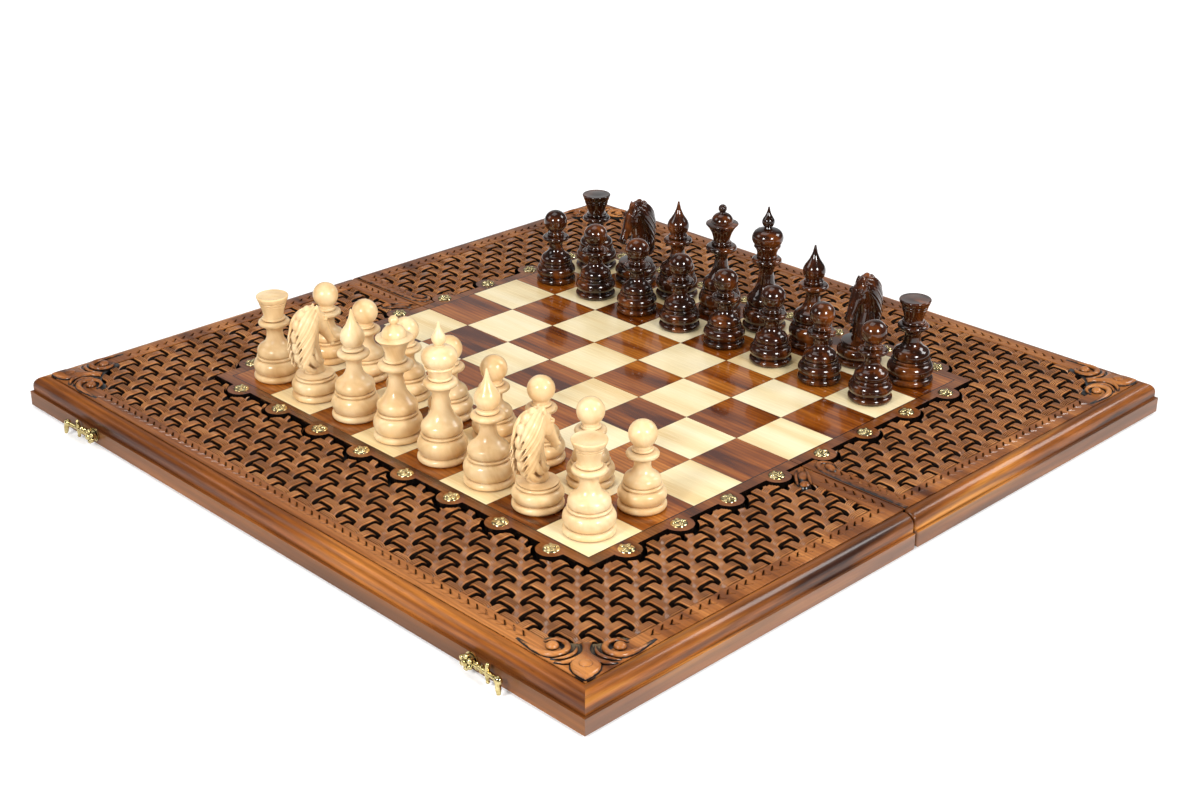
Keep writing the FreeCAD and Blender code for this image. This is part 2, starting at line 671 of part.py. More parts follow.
def turnedShape(kind, stretch):
    scale = widened(kind)
    face = traced((0.0, 0.0), footOutline(kind) + upperOutlines[kind],
                  lambda radius, height: Vector(radius * scale, 0, climb(kind, height, stretch)))
    return face.revolve(Vector(0, 0, 0), Vector(0, 0, 1), 360)


def horseHead(kind, stretch):
    scale = widened(kind)
    side = value("Sizes.knight_thickness") / 2
    face = traced(horseStart, horseOutline,
                  lambda forward, height: Vector(-side, forward * scale, climb(kind, height, stretch)))
    return face.extrude(Vector(2 * side, 0, 0))


def manShape(kind):
    drawnTop = horseTop[1] if kind == "knight" else upperOutlines[kind][-1][-1]
    bottom = footTop + footLift[kind]
    stretch = (value(f"Sizes.{kind}_height") - bottom) / (drawnTop - bottom)
    if kind == "knight":
        return turnedShape(kind, 1.0).fuse(horseHead(kind, stretch)).removeSplitter()
    return turnedShape(kind, stretch)


backRank = ("rook", "knight", "bishop", "king", "queen", "bishop", "knight", "rook")


def standMan(label, shape, column, line, angle):
    man = doc.addObject("Part::Feature", label)
    man.Shape = shape
    keep(man, label, angle)
    man.Placement.Base = Vector((3.5 - column) * value("Sizes.square"),
                                (line - 3.5) * value("Sizes.square"), value(fieldZ))


def chessmen():
    shapes = {kind: manShape(kind) for kind in upperOutlines}
    for tone, backLine, pawnLine, angle in (("light", 0, 1, 0.0), ("dark", 7, 6, 180.0)):
        for column, kind in enumerate(backRank):
            copies = backRank.count(kind)
            number = f"_{1 if column < 4 else 2}" if copies > 1 else ""
            standMan(f"{tone}_{kind}{number}", shapes[kind], column, backLine, angle)
        for column in range(8):
            standMan(f"{tone}_pawn_{column + 1}", shapes["pawn"], column, pawnLine, angle)


# The two halves are one design, turned half round about the middle of the board,
# but the far weave starts with the other slat on top, so that it mirrors the near one.
pattern = studPattern()
nearKnuckles = ("0", f"2 * ({knuckleLength} + Sizes.knuckle_gap)")
farKnuckles = (f"{knuckleLength} + Sizes.knuckle_gap",)
for parity, (half, angle) in enumerate(halves):
    outerRail(half, angle)
    sideRails(half, angle)
    spineRail(half, angle)
    inlays = [points(half, angle, tone, start) for start, tone in enumerate(("light", "dark"))]
    carvedPanel(half, angle, parity, inlays)
    scallopedBorder(half, angle)
    squares(half, angle, "light", 0)
    squares(half, angle, "dark", 1)
    brassStuds(half, angle, pattern)
    hingeLeaves(half, angle, nearKnuckles if half == "near" else farKnuckles)
hingePins()
hookPlates()
for side, sign in sides:
    swingHook(side, sign)
catchPosts()
chessmen()
doc.recompute()

for piece in doc.Objects:
    if "Invalid" in piece.State or "Error" in piece.State:
        raise RuntimeError(f"{piece.Label} failed: {piece.State}")
for piece in nodes:
    if piece.Shape.isNull() or not piece.Shape.isValid():
        raise RuntimeError(f"{piece.Label} has no valid shape")

os.makedirs("parts", exist_ok=True)
for piece in nodes:
    piece.Shape.exportStep(os.path.join("parts", f"{piece.Label}.step"))
    box = piece.Shape.BoundBox
    print(f"{piece.Label}: {len(piece.Shape.Solids)} solids, {piece.Shape.Volume:.0f} mm3, "
          f"x {box.XMin:.1f} to {box.XMax:.1f}, y {box.YMin:.1f} to {box.YMax:.1f}, "
          f"z {box.ZMin:.1f} to {box.ZMax:.1f}")
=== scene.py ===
import math
import bpy
from mathutils import Matrix, Vector


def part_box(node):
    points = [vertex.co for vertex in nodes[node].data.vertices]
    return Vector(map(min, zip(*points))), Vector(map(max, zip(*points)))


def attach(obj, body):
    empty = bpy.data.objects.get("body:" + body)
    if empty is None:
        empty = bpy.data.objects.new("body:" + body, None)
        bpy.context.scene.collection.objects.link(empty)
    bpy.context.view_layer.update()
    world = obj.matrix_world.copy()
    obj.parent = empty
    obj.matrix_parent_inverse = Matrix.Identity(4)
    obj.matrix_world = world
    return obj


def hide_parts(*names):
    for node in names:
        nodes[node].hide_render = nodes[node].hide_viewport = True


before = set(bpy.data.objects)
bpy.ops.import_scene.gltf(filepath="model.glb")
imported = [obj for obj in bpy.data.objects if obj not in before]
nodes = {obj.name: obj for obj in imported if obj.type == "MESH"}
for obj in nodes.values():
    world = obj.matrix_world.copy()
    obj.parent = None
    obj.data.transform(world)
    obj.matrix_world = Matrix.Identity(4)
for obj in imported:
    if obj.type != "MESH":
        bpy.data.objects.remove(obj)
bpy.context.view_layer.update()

scene = bpy.context.scene
mm = 0.001
turn = math.tau
halves = (("near", -1), ("far", 1))  # name and side of the seam
square = 47.75  # a chess square, in mm


# working helpers
def deselect():
    if bpy.context.object and bpy.context.object.mode != "OBJECT":
        bpy.ops.object.mode_set(mode="OBJECT")
    bpy.ops.object.select_all(action="DESELECT")


def only(obj):
    deselect()
    obj.select_set(True)
    bpy.context.view_layer.objects.active = obj
    return obj


def edit(obj, pick="SELECT"):
    only(obj)
    bpy.ops.object.mode_set(mode="EDIT")
    bpy.ops.mesh.select_all(action=pick)


def done(name=None):
    if bpy.context.object.mode != "OBJECT":
        bpy.ops.object.mode_set(mode="OBJECT")
    obj = bpy.context.object
    if name:
        obj.name = obj.data.name = name
    return obj


def settle(obj):
    only(obj)
    bpy.ops.object.transform_apply(location=True, rotation=True, scale=True)
    return obj


def modify(obj, kind, **settings):
    only(obj)
    mod = obj.modifiers.new(kind.title(), kind)
    for key, val in settings.items():
        setattr(mod, key, val)
    bpy.ops.object.modifier_apply(modifier=mod.name)
    return obj


def cutWith(obj, cutter, operation="DIFFERENCE"):
    modify(obj, "BOOLEAN", operation=operation, solver="EXACT", object=cutter)
    bpy.data.objects.remove(cutter)
    return obj


def tidyMesh(obj, gap=1e-6):
    edit(obj)
    bpy.ops.mesh.remove_doubles(threshold=gap)
    bpy.ops.mesh.normals_make_consistent(inside=False)
    return done()


def smooth(obj, degrees=35):
    only(obj)
    bpy.ops.object.shade_smooth_by_angle(angle=math.radians(degrees))
    return obj


def copyAt(source, name, place):
    twin = source.copy()
    twin.data = source.data.copy()
    twin.name = twin.data.name = name
    twin.data.transform(place)
    if place.is_negative:
        twin.data.flip_normals()
    scene.collection.objects.link(twin)
    return twin


def spotAt(x, y, z=0.0, angle=0.0):  # a place in mm, turned about Z
    return Matrix.Translation(Vector((x, y, z)) * mm) @ Matrix.Rotation(angle, 4, "Z")


def joined(objs, name):
    deselect()
    for obj in objs:
        obj.select_set(True)
    bpy.context.view_layer.objects.active = objs[0]
    bpy.ops.object.join()
    return done(name)


def boxAt(name, low, high):
    deselect()
    low, high = [[pick(a, b) for a, b in zip(low, high)] for pick in (min, max)]
    bpy.ops.mesh.primitive_cube_add(size=mm, location=[(a + b) / 2 * mm for a, b in zip(low, high)])
    obj = done(name)
    obj.scale = [b - a for a, b in zip(low, high)]
    return settle(obj)


def ball(size, place, turned=(0, 0, 0), segments=20, rings=12):
    deselect()
    bpy.ops.mesh.primitive_uv_sphere_add(segments=segments, ring_count=rings, radius=mm,
                                         location=Vector(place) * mm, rotation=turned)
    obj = done("ball")
    obj.scale = size
    return settle(obj)


def rodAt(radius, start, end, sides=24):
    deselect()
    start, end = Vector(start) * mm, Vector(end) * mm
    run = end - start
    bpy.ops.mesh.primitive_cylinder_add(vertices=sides, radius=radius * mm, depth=run.length,
                                        location=(start + end) / 2,
                                        rotation=run.to_track_quat("Z", "Y").to_euler())
    return settle(done("rod"))


def strand(points, thick, resolution=5, sides=2, squash=None):  # tapered round stroke along a smooth path
    deselect()
    bpy.ops.curve.primitive_bezier_curve_add()
    line = bpy.context.object
    line.data.splines.clear()
    spline = line.data.splines.new("NURBS")
    spline.points.add(len(points) - 1)
    for knot, place, radius in zip(spline.points, points, thick):
        knot.co = (*[c * mm for c in place], 1)
        knot.radius = radius
    spline.order_u = 4
    spline.use_endpoint_u = True
    spline.resolution_u = resolution
    line.data.dimensions = "3D"
    line.data.bevel_depth = mm
    line.data.bevel_resolution = sides
    line.data.use_fill_caps = True
    only(line)
    bpy.ops.object.convert(target="MESH")
    obj = settle(done("strand"))
    if squash:  # flattened towards one level
        level, share = squash
        obj.data.transform(Matrix.Translation((0, 0, level * mm)) @ Matrix.Diagonal((1, 1, share, 1))
                           @ Matrix.Translation((0, 0, -level * mm)))
    return obj


def cushion(outline, base, rise, insets):  # outline runs counter-clockwise
    deselect()
    bpy.ops.mesh.primitive_circle_add(vertices=len(outline), radius=mm, fill_type="NGON")
    obj = done("cushion")
    for vert, (x, y) in zip(obj.data.vertices, outline):
        vert.co = Vector((x, y, base)) * mm
    edit(obj)
    bpy.ops.mesh.extrude_region_move(TRANSFORM_OT_translate={"value": (0, 0, rise * mm)})
    for wide, deep in insets:
        bpy.ops.mesh.inset(thickness=wide * mm, depth=deep * mm)
    done()
    return tidyMesh(obj)


def finishPiece(obj, body, material, slot, *replaced):
    obj.data.materials.clear()
    obj.data.materials.append(material)
    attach(obj, body)
    if replaced:
        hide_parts(*replaced)
    return obj


# shader helpers
def put(tree, kind, values=None, **settings):
    node = tree.nodes.new(kind)
    for key, val in settings.items():
        setattr(node, key, val)
    for key, val in (values or {}).items():
        if isinstance(val, bpy.types.NodeSocket):
            tree.links.new(val, node.inputs[key])
        else:
            node.inputs[key].default_value = val
    return node


def calc(tree, operation, first, second=0.0, third=0.0):
    return put(tree, "ShaderNodeMath", {0: first, 1: second, 2: third}, operation=operation).outputs[0]


def spread(tree, value, low, high, start=0.0, end=1.0):
    return put(tree, "ShaderNodeMapRange", {"Value": value, "From Min": low, "From Max": high,
                                            "To Min": start, "To Max": end}).outputs[0]


def vector(tree, operation, first, second=(0, 0, 0)):
    return put(tree, "ShaderNodeVectorMath", {0: first, 1: second}, operation=operation).outputs[0]


def stretched(tree, source, scale=(1, 1, 1), rotation=(0, 0, 0)):
    return put(tree, "ShaderNodeMapping", {"Vector": source, "Scale": scale, "Rotation": rotation}).outputs[0]


def ramp(tree, value, stops):
    node = put(tree, "ShaderNodeValToRGB", {"Fac": value})
    band = node.color_ramp.elements
    while len(band) < len(stops):
        band.new(0.5)
    for element, (place, colour) in zip(band, stops):
        element.position = place
        element.color = (*colour, 1)
    return node.outputs["Color"]


def blendColour(tree, fac, first, second):
    node = tree.nodes.new("ShaderNodeMix")
    node.data_type = "RGBA"
    for socket, val in ((node.inputs[0], fac), (node.inputs[6], first), (node.inputs[7], second)):
        if isinstance(val, bpy.types.NodeSocket):
            tree.links.new(val, socket)
        else:
            socket.default_value = (*val, 1)
    return node.outputs[2]


def noise(tree, place, scale, detail, **more):
    values = {"Vector": place, "Scale": scale, "Detail": detail, **more}
    return put(tree, "ShaderNodeTexNoise", values).outputs


def axesOf(tree, source):
    return put(tree, "ShaderNodeSeparateXYZ", {"Vector": source}).outputs


def attribute(tree, name):
    return put(tree, "ShaderNodeAttribute", attribute_name=name).outputs["Fac"]


def openness(tree, reach):  # 1 on open faces, less in corners and hollows
    return put(tree, "ShaderNodeAmbientOcclusion", {"Distance": reach * mm}, samples=6).outputs["AO"]


def startMaterial(name):
    mat = bpy.data.materials.new(name)
    mat.use_nodes = True
    tree = mat.node_tree
    place = put(tree, "ShaderNodeTexCoord").outputs["Object"]
    return mat, tree, tree.nodes["Principled BSDF"], place


def bumpy(tree, shader, height, strength, deep):
    raised = put(tree, "ShaderNodeBump", {"Height": height, "Strength": strength, "Distance": deep * mm})
    tree.links.new(raised.outputs[0], shader.inputs["Normal"])


def srgb(*levels):  # colours are written as they look, 0 to 255
    return tuple(((v / 255 + 0.055) / 1.055) ** 2.4 if v > 10 else v / 255 / 12.92 for v in levels)


def newGroup(name, inputs, outputs):
    group = bpy.data.node_groups.new(name, "ShaderNodeTree")
    for label, kind, value in inputs:
        socket = group.interface.new_socket(label, in_out="INPUT", socket_type=kind)
        if value is not None:
            socket.default_value = value
    for label, kind in outputs:
        group.interface.new_socket(label, in_out="OUTPUT", socket_type=kind)
    return group, group.nodes.new("NodeGroupInput").outputs, group.nodes.new("NodeGroupOutput").inputs


# wood grain that runs along X of the vector it is given, in metres
def grainGroup():
    group, given, out = newGroup(
        "woodGrain",
        [("Vector", "NodeSocketVector", None), ("Broad", "NodeSocketFloat", 45.0),
         ("Ring", "NodeSocketFloat", 200.0), ("Sway", "NodeSocketFloat", 0.01),
         ("Fibre", "NodeSocketFloat", 800.0)],
        [(label, "NodeSocketFloat") for label in ("Figure", "Lines", "Streaks", "Pores")])
    drawn = stretched(group, given["Vector"], (0.1, 1, 1))
    broad = noise(group, drawn, given["Broad"], 4.0, Roughness=0.5, Distortion=0.4)
    drift = noise(group, drawn, 22.0, 2.0)
    bend = vector(group, "SUBTRACT", drift["Color"], (0.5, 0.5, 0.5))
    sway = put(group, "ShaderNodeVectorMath", {0: bend, "Scale": given["Sway"]}, operation="SCALE").outputs[0]
    swung = vector(group, "ADD", stretched(group, given["Vector"], (0.03, 1, 0.8)), sway)
    bands = {"Vector": swung, "Scale": given["Ring"], "Distortion": 2.2, "Detail": 2.0, "Detail Scale": 0.25}
    rings = put(group, "ShaderNodeTexWave", bands, wave_type="BANDS", bands_direction="DIAGONAL").outputs
    thread = stretched(group, given["Vector"], (0.03, 1, 1))
    streaks = noise(group, thread, given["Fibre"], 3.0, Roughness=0.6)
    dash = stretched(group, given["Vector"], (0.07, 1, 1))
    pore = noise(group, dash, calc(group, "MULTIPLY", given["Fibre"], 1.7), 1.0)
    group.links.new(broad["Fac"], out["Figure"])
    group.links.new(rings["Fac"], out["Lines"])
    group.links.new(streaks["Fac"], out["Streaks"])
    group.links.new(spread(group, pore["Fac"], 0.62, 0.74), out["Pores"])
    return group


# dark stain and painted shade that lie deep in the carving, by height
def stainAndShadeGroup():
    group, given, out = newGroup(
        "stainedShadedDepth",
        [("Vector", "NodeSocketVector", None), ("Bottom", "NodeSocketFloat", 0.02),
         ("Top", "NodeSocketFloat", 0.024)],
        [("Clean", "NodeSocketFloat")])
    height = axesOf(group, given["Vector"])["Z"]
    patch = noise(group, given["Vector"], 260.0, 2.0)["Fac"]
    level = calc(group, "ADD", height, spread(group, patch, 0.3, 0.7, -0.0004, 0.0004))
    depth = {"Value": level, "From Min": given["Bottom"], "From Max": given["Top"]}
    clean = put(group, "ShaderNodeMapRange", depth, interpolation_type="SMOOTHSTEP").outputs[0]
    below = calc(group, "LESS_THAN", height, 0.0150)  # the backgammon face gets neither stain nor painted shade
    group.links.new(calc(group, "MAXIMUM", clean, below), out["Clean"])
    return group


woodGrain = grainGroup()
stainedShadedDepth = stainAndShadeGroup()
# the first black serves stain, stringing and painted shade
blackStainAndShade, glueLine, oldPolish = srgb(10, 7, 6), srgb(44, 24, 12), srgb(40, 32, 14)


def wood(name, dark, mid, light, grain=(0, 0, 0), broad=45.0, ring=200.0, sway=0.01, fibre=800.0, line=0.25,
         streak=0.3, pore=0.3, rough=(0.3, 0.42), coat=0.2, coatRough=0.12, bump=0.05, tile=None, tone=0.0,
         stainAndShade=None, walls=None, foot=None, frameLine=None, slats=False, cornerShade=None):
    mat, tree, shader, place = startMaterial(name)
    deep = [c * 0.4 for c in dark]
    along = place
    if tile:  # every veneer has its own cut of wood
        cell = vector(tree, "DIVIDE", place, (tile * mm, tile * mm, 10))
        chance = put(tree, "ShaderNodeTexWhiteNoise", {"Vector": vector(tree, "FLOOR", cell)}).outputs
        along = vector(tree, "ADD", place, vector(tree, "MULTIPLY", chance["Color"], (3, 3, 0.4)))
    if any(grain):
        along = stretched(tree, along, rotation=grain)
    values = {"Vector": along, "Broad": broad, "Ring": ring, "Sway": sway, "Fibre": fibre}
    cut = put(tree, "ShaderNodeGroup", values, node_tree=woodGrain).outputs
    figure = cut["Figure"]
    if tile or slats:  # every veneer and every slat has its own tone
        own = chance["Value"] if tile else attribute(tree, "tone")
        figure = calc(tree, "ADD", figure, spread(tree, own, 0, 1, -tone, tone))
    colour = ramp(tree, figure, [(0.3, dark), (0.5, mid), (0.68, light)])
    fine = spread(tree, cut["Streaks"], 0.4, 0.7)
    for mask, share, tint in ((cut["Lines"], line, dark), (fine, streak, dark), (cut["Pores"], pore, deep)):
        colour = blendColour(tree, calc(tree, "MULTIPLY", mask, share), colour, tint)
    if tile:  # thin glue line round a veneer
        offset = vector(tree, "SUBTRACT", vector(tree, "FRACTION", cell), (0.5, 0.5, 0))
        sides = axesOf(tree, vector(tree, "ABSOLUTE", offset))
        rim = spread(tree, calc(tree, "MAXIMUM", sides["X"], sides["Y"]), 0.4935, 0.4965)
        colour = blendColour(tree, calc(tree, "MULTIPLY", rim, 0.75), colour, glueLine)
    if frameLine:  # dark stringing round the chess field
        sides = axesOf(tree, vector(tree, "ABSOLUTE", place))
        reach = calc(tree, "MAXIMUM", sides["X"], sides["Y"])
        gap = calc(tree, "ABSOLUTE", calc(tree, "SUBTRACT", reach, frameLine * mm))
        colour = blendColour(tree, spread(tree, gap, 0.0003, 0.0005, 1, 0), colour, blackStainAndShade)
    if foot:  # painted reflection of the pale floor: the wall below the ledge is greyer
        height = axesOf(tree, place)["Z"]
        colour = blendColour(tree, spread(tree, height, 0.0126, 0.0132, 0.6, 0), colour, foot)
    if slats:  # painted light and shade: lighter ribs, and painted shade in the furrows between them
        furrow = attribute(tree, "furrow")
        colour = blendColour(tree, spread(tree, furrow, 0.0, 0.4, 0.3, 0), colour, light)
        colour = blendColour(tree, spread(tree, furrow, 0.0, 0.5, 0, 0.85), colour, deep)
    if cornerShade:  # painted shade: darker in the corners and hollows of the carving
        reach, low, high, *tint = cornerShade
        shadeTint = tint[0] if tint else blackStainAndShade
        colour = blendColour(tree, spread(tree, openness(tree, reach), low, high), shadeTint, colour)
    # stain and painted shade: the deeper the wood lies, the darker
    if stainAndShade:
        levels = {"Vector": place, "Bottom": stainAndShade[0], "Top": stainAndShade[1]}
        stainShade = put(tree, "ShaderNodeGroup", levels, node_tree=stainedShadedDepth).outputs
        colour = blendColour(tree, stainShade["Clean"], blackStainAndShade, colour)
    if walls:  # stain and painted shade: upright faces are darker
        normal = put(tree, "ShaderNodeNewGeometry").outputs["True Normal"]
        lean = calc(tree, "ABSOLUTE", axesOf(tree, normal)["Z"])
        colour = blendColour(tree, spread(tree, lean, 0.1, 0.5), walls, colour)
    tree.links.new(colour, shader.inputs["Base Color"])
    tree.links.new(spread(tree, cut["Streaks"], 0.3, 0.7, *rough), shader.inputs["Roughness"])
    shader.inputs["Specular IOR Level"].default_value = 0.2  # the lacquer gives the gloss
    shader.inputs["Coat Weight"].default_value = coat
    shader.inputs["Coat Roughness"].default_value = coatRough
    relief = calc(tree, "SUBTRACT", cut["Streaks"], calc(tree, "MULTIPLY", cut["Pores"], 0.8))
    bumpy(tree, shader, relief, bump, 0.4)
    return mat


def metal(name, colour, dull, rough=(0.1, 0.26), scale=420.0):
    mat, tree, shader, place = startMaterial(name)
    patina = noise(tree, place, scale, 4.0)["Fac"]
    scuff = noise(tree, place, scale * 6, 3.0)["Fac"]
    tint = blendColour(tree, spread(tree, patina, 0.35, 0.75), colour, dull)
    tint = blendColour(tree, spread(tree, openness(tree, 1.6), 0.35, 0.8), oldPolish, tint)
    tree.links.new(tint, shader.inputs["Base Color"])
    tree.links.new(spread(tree, scuff, 0.3, 0.7, *rough), shader.inputs["Roughness"])
    shader.inputs["Metallic"].default_value = 1.0
    bumpy(tree, shader, scuff, 0.05, 0.3)
    return mat


acrossGrain, uprightGrain = (0, 0, turn / 4), (0, turn / 4, 0.4)
# painted shade in the rails' corners and creases
railCornerShade = (1.4, 0.2, 0.6, srgb(40, 18, 6))
railAlong = wood(
    "walnutRailAlong", srgb(58, 22, 4), srgb(148, 82, 26), srgb(200, 124, 50), broad=40.0, ring=120.0,
    line=0.4, foot=srgb(118, 78, 46), coat=0.18, coatRough=0.14, cornerShade=railCornerShade)
railAcross = wood(
    "walnutRailAcross", srgb(46, 18, 4), srgb(152, 86, 30), srgb(206, 136, 58), grain=acrossGrain, broad=60.0,
    ring=90.0, sway=0.03, line=0.5, foot=srgb(124, 94, 76), coat=0.4, coatRough=0.1, cornerShade=railCornerShade)
carvedWalnut = wood(
    "carvedWalnut", srgb(76, 36, 10), srgb(148, 86, 36), srgb(188, 120, 60), broad=60.0,
    stainAndShade=(0.0247, 0.0257), cornerShade=(2.2, 0.3, 0.7))
ornamentWalnut = wood(
    "ornamentWalnut", srgb(88, 44, 14), srgb(156, 92, 40), srgb(196, 128, 66), coat=0.6, coatRough=0.1,
    broad=60.0, line=0.1, streak=0.15, stainAndShade=(0.0264, 0.0274), cornerShade=(3.0, 0.45, 0.9))
weaveWalnut = wood(
    "weaveWalnut", srgb(78, 36, 10), srgb(150, 86, 40), srgb(204, 138, 80), coat=0.25, coatRough=0.2,
    broad=120.0, ring=400.0, fibre=1300.0, stainAndShade=(0.0218, 0.0240), walls=srgb(16, 8, 4), slats=True,
    tone=0.07, cornerShade=(3.0, 0.2, 0.7))
borderWalnut = wood(
    "borderWalnut", srgb(60, 26, 8), srgb(122, 66, 26), srgb(160, 96, 44), rough=(0.18, 0.28), coat=0.4,
    coatRough=0.06, walls=srgb(16, 10, 7), frameLine=191.2)
lightVeneer = wood(
    "lightVeneer", srgb(232, 202, 146), srgb(246, 226, 178), srgb(252, 236, 196), ring=150.0, line=0.06,
    streak=0.1, pore=0.05, rough=(0.22, 0.3), coat=0.4, coatRough=0.08, bump=0.015, tile=square, tone=0.1)
darkVeneer = wood(
    "darkVeneer", srgb(76, 28, 2), srgb(156, 82, 18), srgb(198, 120, 44), broad=70.0, ring=160.0, line=0.35,
    rough=(0.16, 0.22), coat=0.5, coatRough=0.05, bump=0.02, tile=square, tone=0.14)
lightPoints = wood(
    "lightPoints", srgb(214, 184, 128), srgb(236, 212, 162), srgb(246, 228, 184), line=0.1, streak=0.15,
    pore=0.08)
darkPoints = wood("darkPoints", srgb(58, 28, 14), srgb(94, 52, 28), srgb(124, 76, 44))
# the brown tint is painted shade between the turned rings
boxwood = wood(
    "boxwood", srgb(216, 174, 118), srgb(240, 206, 154), srgb(248, 222, 176), grain=uprightGrain, broad=60.0,
    ring=90.0, sway=0.02, fibre=900.0, line=0.14, streak=0.12, pore=0.05, rough=(0.26, 0.34), coat=0.5,
    coatRough=0.08, bump=0.015, cornerShade=(2.4, 0.1, 0.85, srgb(142, 88, 40)))
stainedWood = wood(
    "stainedWood", srgb(18, 6, 1), srgb(62, 25, 5), srgb(128, 66, 20), grain=uprightGrain, broad=60.0,
    ring=80.0, sway=0.02, fibre=600.0, line=0.45, pore=0.2, rough=(0.14, 0.2), coat=1.0, coatRough=0.03,
    bump=0.015, cornerShade=(1.8, 0.2, 0.75))
brass = metal("polishedBrass", srgb(226, 210, 152), srgb(166, 140, 82))
paleBrass = metal("paleBrass", srgb(240, 226, 176), srgb(188, 160, 96))
print("materials ready")


# solids that keep their own shape
keepLooks = {
    "outer_rail": railAlong, "spine_rail": railAlong, "scalloped_border": borderWalnut,
    "light_squares": lightVeneer, "dark_squares": darkVeneer,
    "light_points": lightPoints, "dark_points": darkPoints, "hinge_leaves": brass,
}
for half, side in halves:
    for word, material in keepLooks.items():
        for slot in nodes[f"{half}_{word}"].material_slots:
            slot.material = material
for slot in nodes["hinge_pins"].material_slots:
    slot.material = brass


# turned men: radius and height in mm; a pair ends a straight run, four numbers are an arc's middle and end
manFeet = {"pawn": (16.4, 0.3), "rook": (17.5, 1.4), "knight": (17.5, 0.0), "bishop": (17.5, 3.2),
           "queen": (17.5, 3.4), "king": (17.5, 3.4)}  # radius, and how much the foot is drawn up
manTops = {
    "pawn": [(12.1, 21.4, 9.8, 24.0), (6.4, 27.4, 5.6, 31.2), (6.6, 34.8, 8.9, 36.6), (11.0, 38.4, 8.7, 40.0),
             (6.6, 40.6), (7.2, 41.6, 5.9, 42.6), (5.6, 43.2), (5.6, 44.6), (9.6, 52.4, 0.0, 62.0)],
    "rook": [(13.9, 22.6, 11.6, 26.2), (7.4, 30.0, 6.3, 34.5), (6.9, 39.6, 9.4, 42.0),
             (11.6, 44.0, 9.5, 46.0), (8.0, 46.3), (8.7, 47.4, 7.7, 48.5), (7.4, 50.5),
             (8.4, 54.6, 9.7, 58.0), (9.4, 58.3), (9.9, 58.8), (10.2, 60.0), (9.9, 60.3), (10.5, 60.8),
             (11.4, 62.8, 11.9, 64.3), (11.7, 65.0, 10.6, 65.3), (5.4, 65.9, 0.0, 66.0)],
    "bishop": [(14.3, 24.6, 11.8, 28.6), (7.2, 33.4, 5.7, 39.4), (6.4, 44.2, 9.2, 46.4),
               (11.6, 48.5, 9.4, 50.6), (7.2, 51.0), (7.9, 52.4, 6.6, 53.8), (6.0, 54.4),
               (8.8, 60.5, 7.0, 66.5), (3.1, 72.8, 0.9, 80.8), (0.6, 81.7, 0.0, 82.0)],
    "queen": [(14.4, 24.8, 12.2, 28.8), (7.6, 34.8, 5.4, 43.6), (6.2, 49.6, 9.8, 52.2),
              (12.4, 55.0, 9.9, 57.2), (7.6, 57.6), (8.3, 58.8, 7.0, 60.0), (6.6, 60.8),
              (8.2, 67.5, 12.6, 74.2), (13.1, 75.0, 12.4, 75.7), (8.9, 76.6), (7.0, 81.5, 2.9, 84.0),
              (2.5, 84.6), (2.5, 85.3), (3.4, 87.6, 0.0, 91.0)],
    "king": [(14.4, 24.8, 12.2, 28.8), (8.2, 34.8, 6.4, 43.6), (7.1, 51.8, 9.6, 54.4),
             (11.9, 57.0, 9.6, 59.2), (7.6, 59.6), (8.3, 60.7, 7.6, 61.8), (7.8, 62.4),
             (8.3, 65.0, 9.6, 67.6), (10.5, 68.7, 9.8, 69.8), (9.9, 70.2), (12.3, 76.6, 8.0, 82.2),
             (3.4, 83.6), (3.0, 84.6), (5.0, 88.6, 3.6, 92.2), (1.8, 95.8, 0.7, 100.4),
             (0.45, 100.85, 0.0, 101.0)],
    "knight": [(13.8, 18.4), (6.9, 19.6, 0.0, 20.0)],
}


def manFoot(r, lift):
    return [(r - 1.5, 0.0), (r, 2.3, r - 1.2, 4.8), (r - 2.4, 5.3), (r - 2.1, 5.9),
            (r - 0.1, 10.0 + lift / 2, r - 2.5, 14.2 + lift), (r - 3.5, 14.6 + lift), (r - 3.5, 15.2 + lift),
            (r - 2.8, 16.1 + lift, r - 3.5, 17.0 + lift), (r - 4.3, 17.3 + lift), (r - 3.8, 17.9 + lift)]


lathe = {"steps": 48, "arcStep": math.radians(11)}


def arcPoints(start, middle, end):
    a, b, c = Vector(start), Vector(middle), Vector(end)
    ab, ac = b - a, c - a
    cross = 2 * ab.cross(ac)
    if abs(cross) < 1e-6:
        return [end]
    centre = a + Vector((ac.y * ab.length_squared - ab.y * ac.length_squared,
                         ab.x * ac.length_squared - ac.x * ab.length_squared)) / cross
    first = math.atan2(*(a - centre).yx)
    sweep = (math.atan2(*(c - centre).yx) - first) % turn
    if (math.atan2(*(b - centre).yx) - first) % turn > sweep:
        sweep -= turn
    count = max(2, math.ceil(abs(sweep) / lathe["arcStep"]))
    radius = (a - centre).length
    points = [(centre.x + radius * math.cos(first + sweep * k / count),
               centre.y + radius * math.sin(first + sweep * k / count)) for k in range(1, count)]
    return points + [end]


def turned(name, steps, count=lathe["steps"]):
    points = [(0.0, steps[0][1])]
    for step in steps:
        points += [step] if len(step) == 2 else arcPoints(points[-1], step[:2], step[2:])
    deselect()
    bpy.ops.mesh.primitive_plane_add(size=mm)
    bpy.ops.object.mode_set(mode="EDIT")
    bpy.ops.mesh.select_all(action="SELECT")
    bpy.ops.mesh.merge(type="CENTER")  # one point on the axis, drawn out along the outline
    for here, there in zip(points, points[1:]):
        step = ((there[0] - here[0]) * mm, 0, (there[1] - here[1]) * mm)
        bpy.ops.mesh.extrude_region_move(TRANSFORM_OT_translate={"value": step})
    bpy.ops.mesh.select_all(action="SELECT")
    bpy.ops.mesh.spin(steps=count, angle=turn, center=(0, 0, 0), axis=(0, 0, 1))
    obj = done(name)
    return smooth(tidyMesh(obj, 2e-6), 40)


patterns = {kind: turned(f"pattern_{kind}", manFoot(*manFeet[kind]) + top) for kind, top in manTops.items()}
print("men turned")


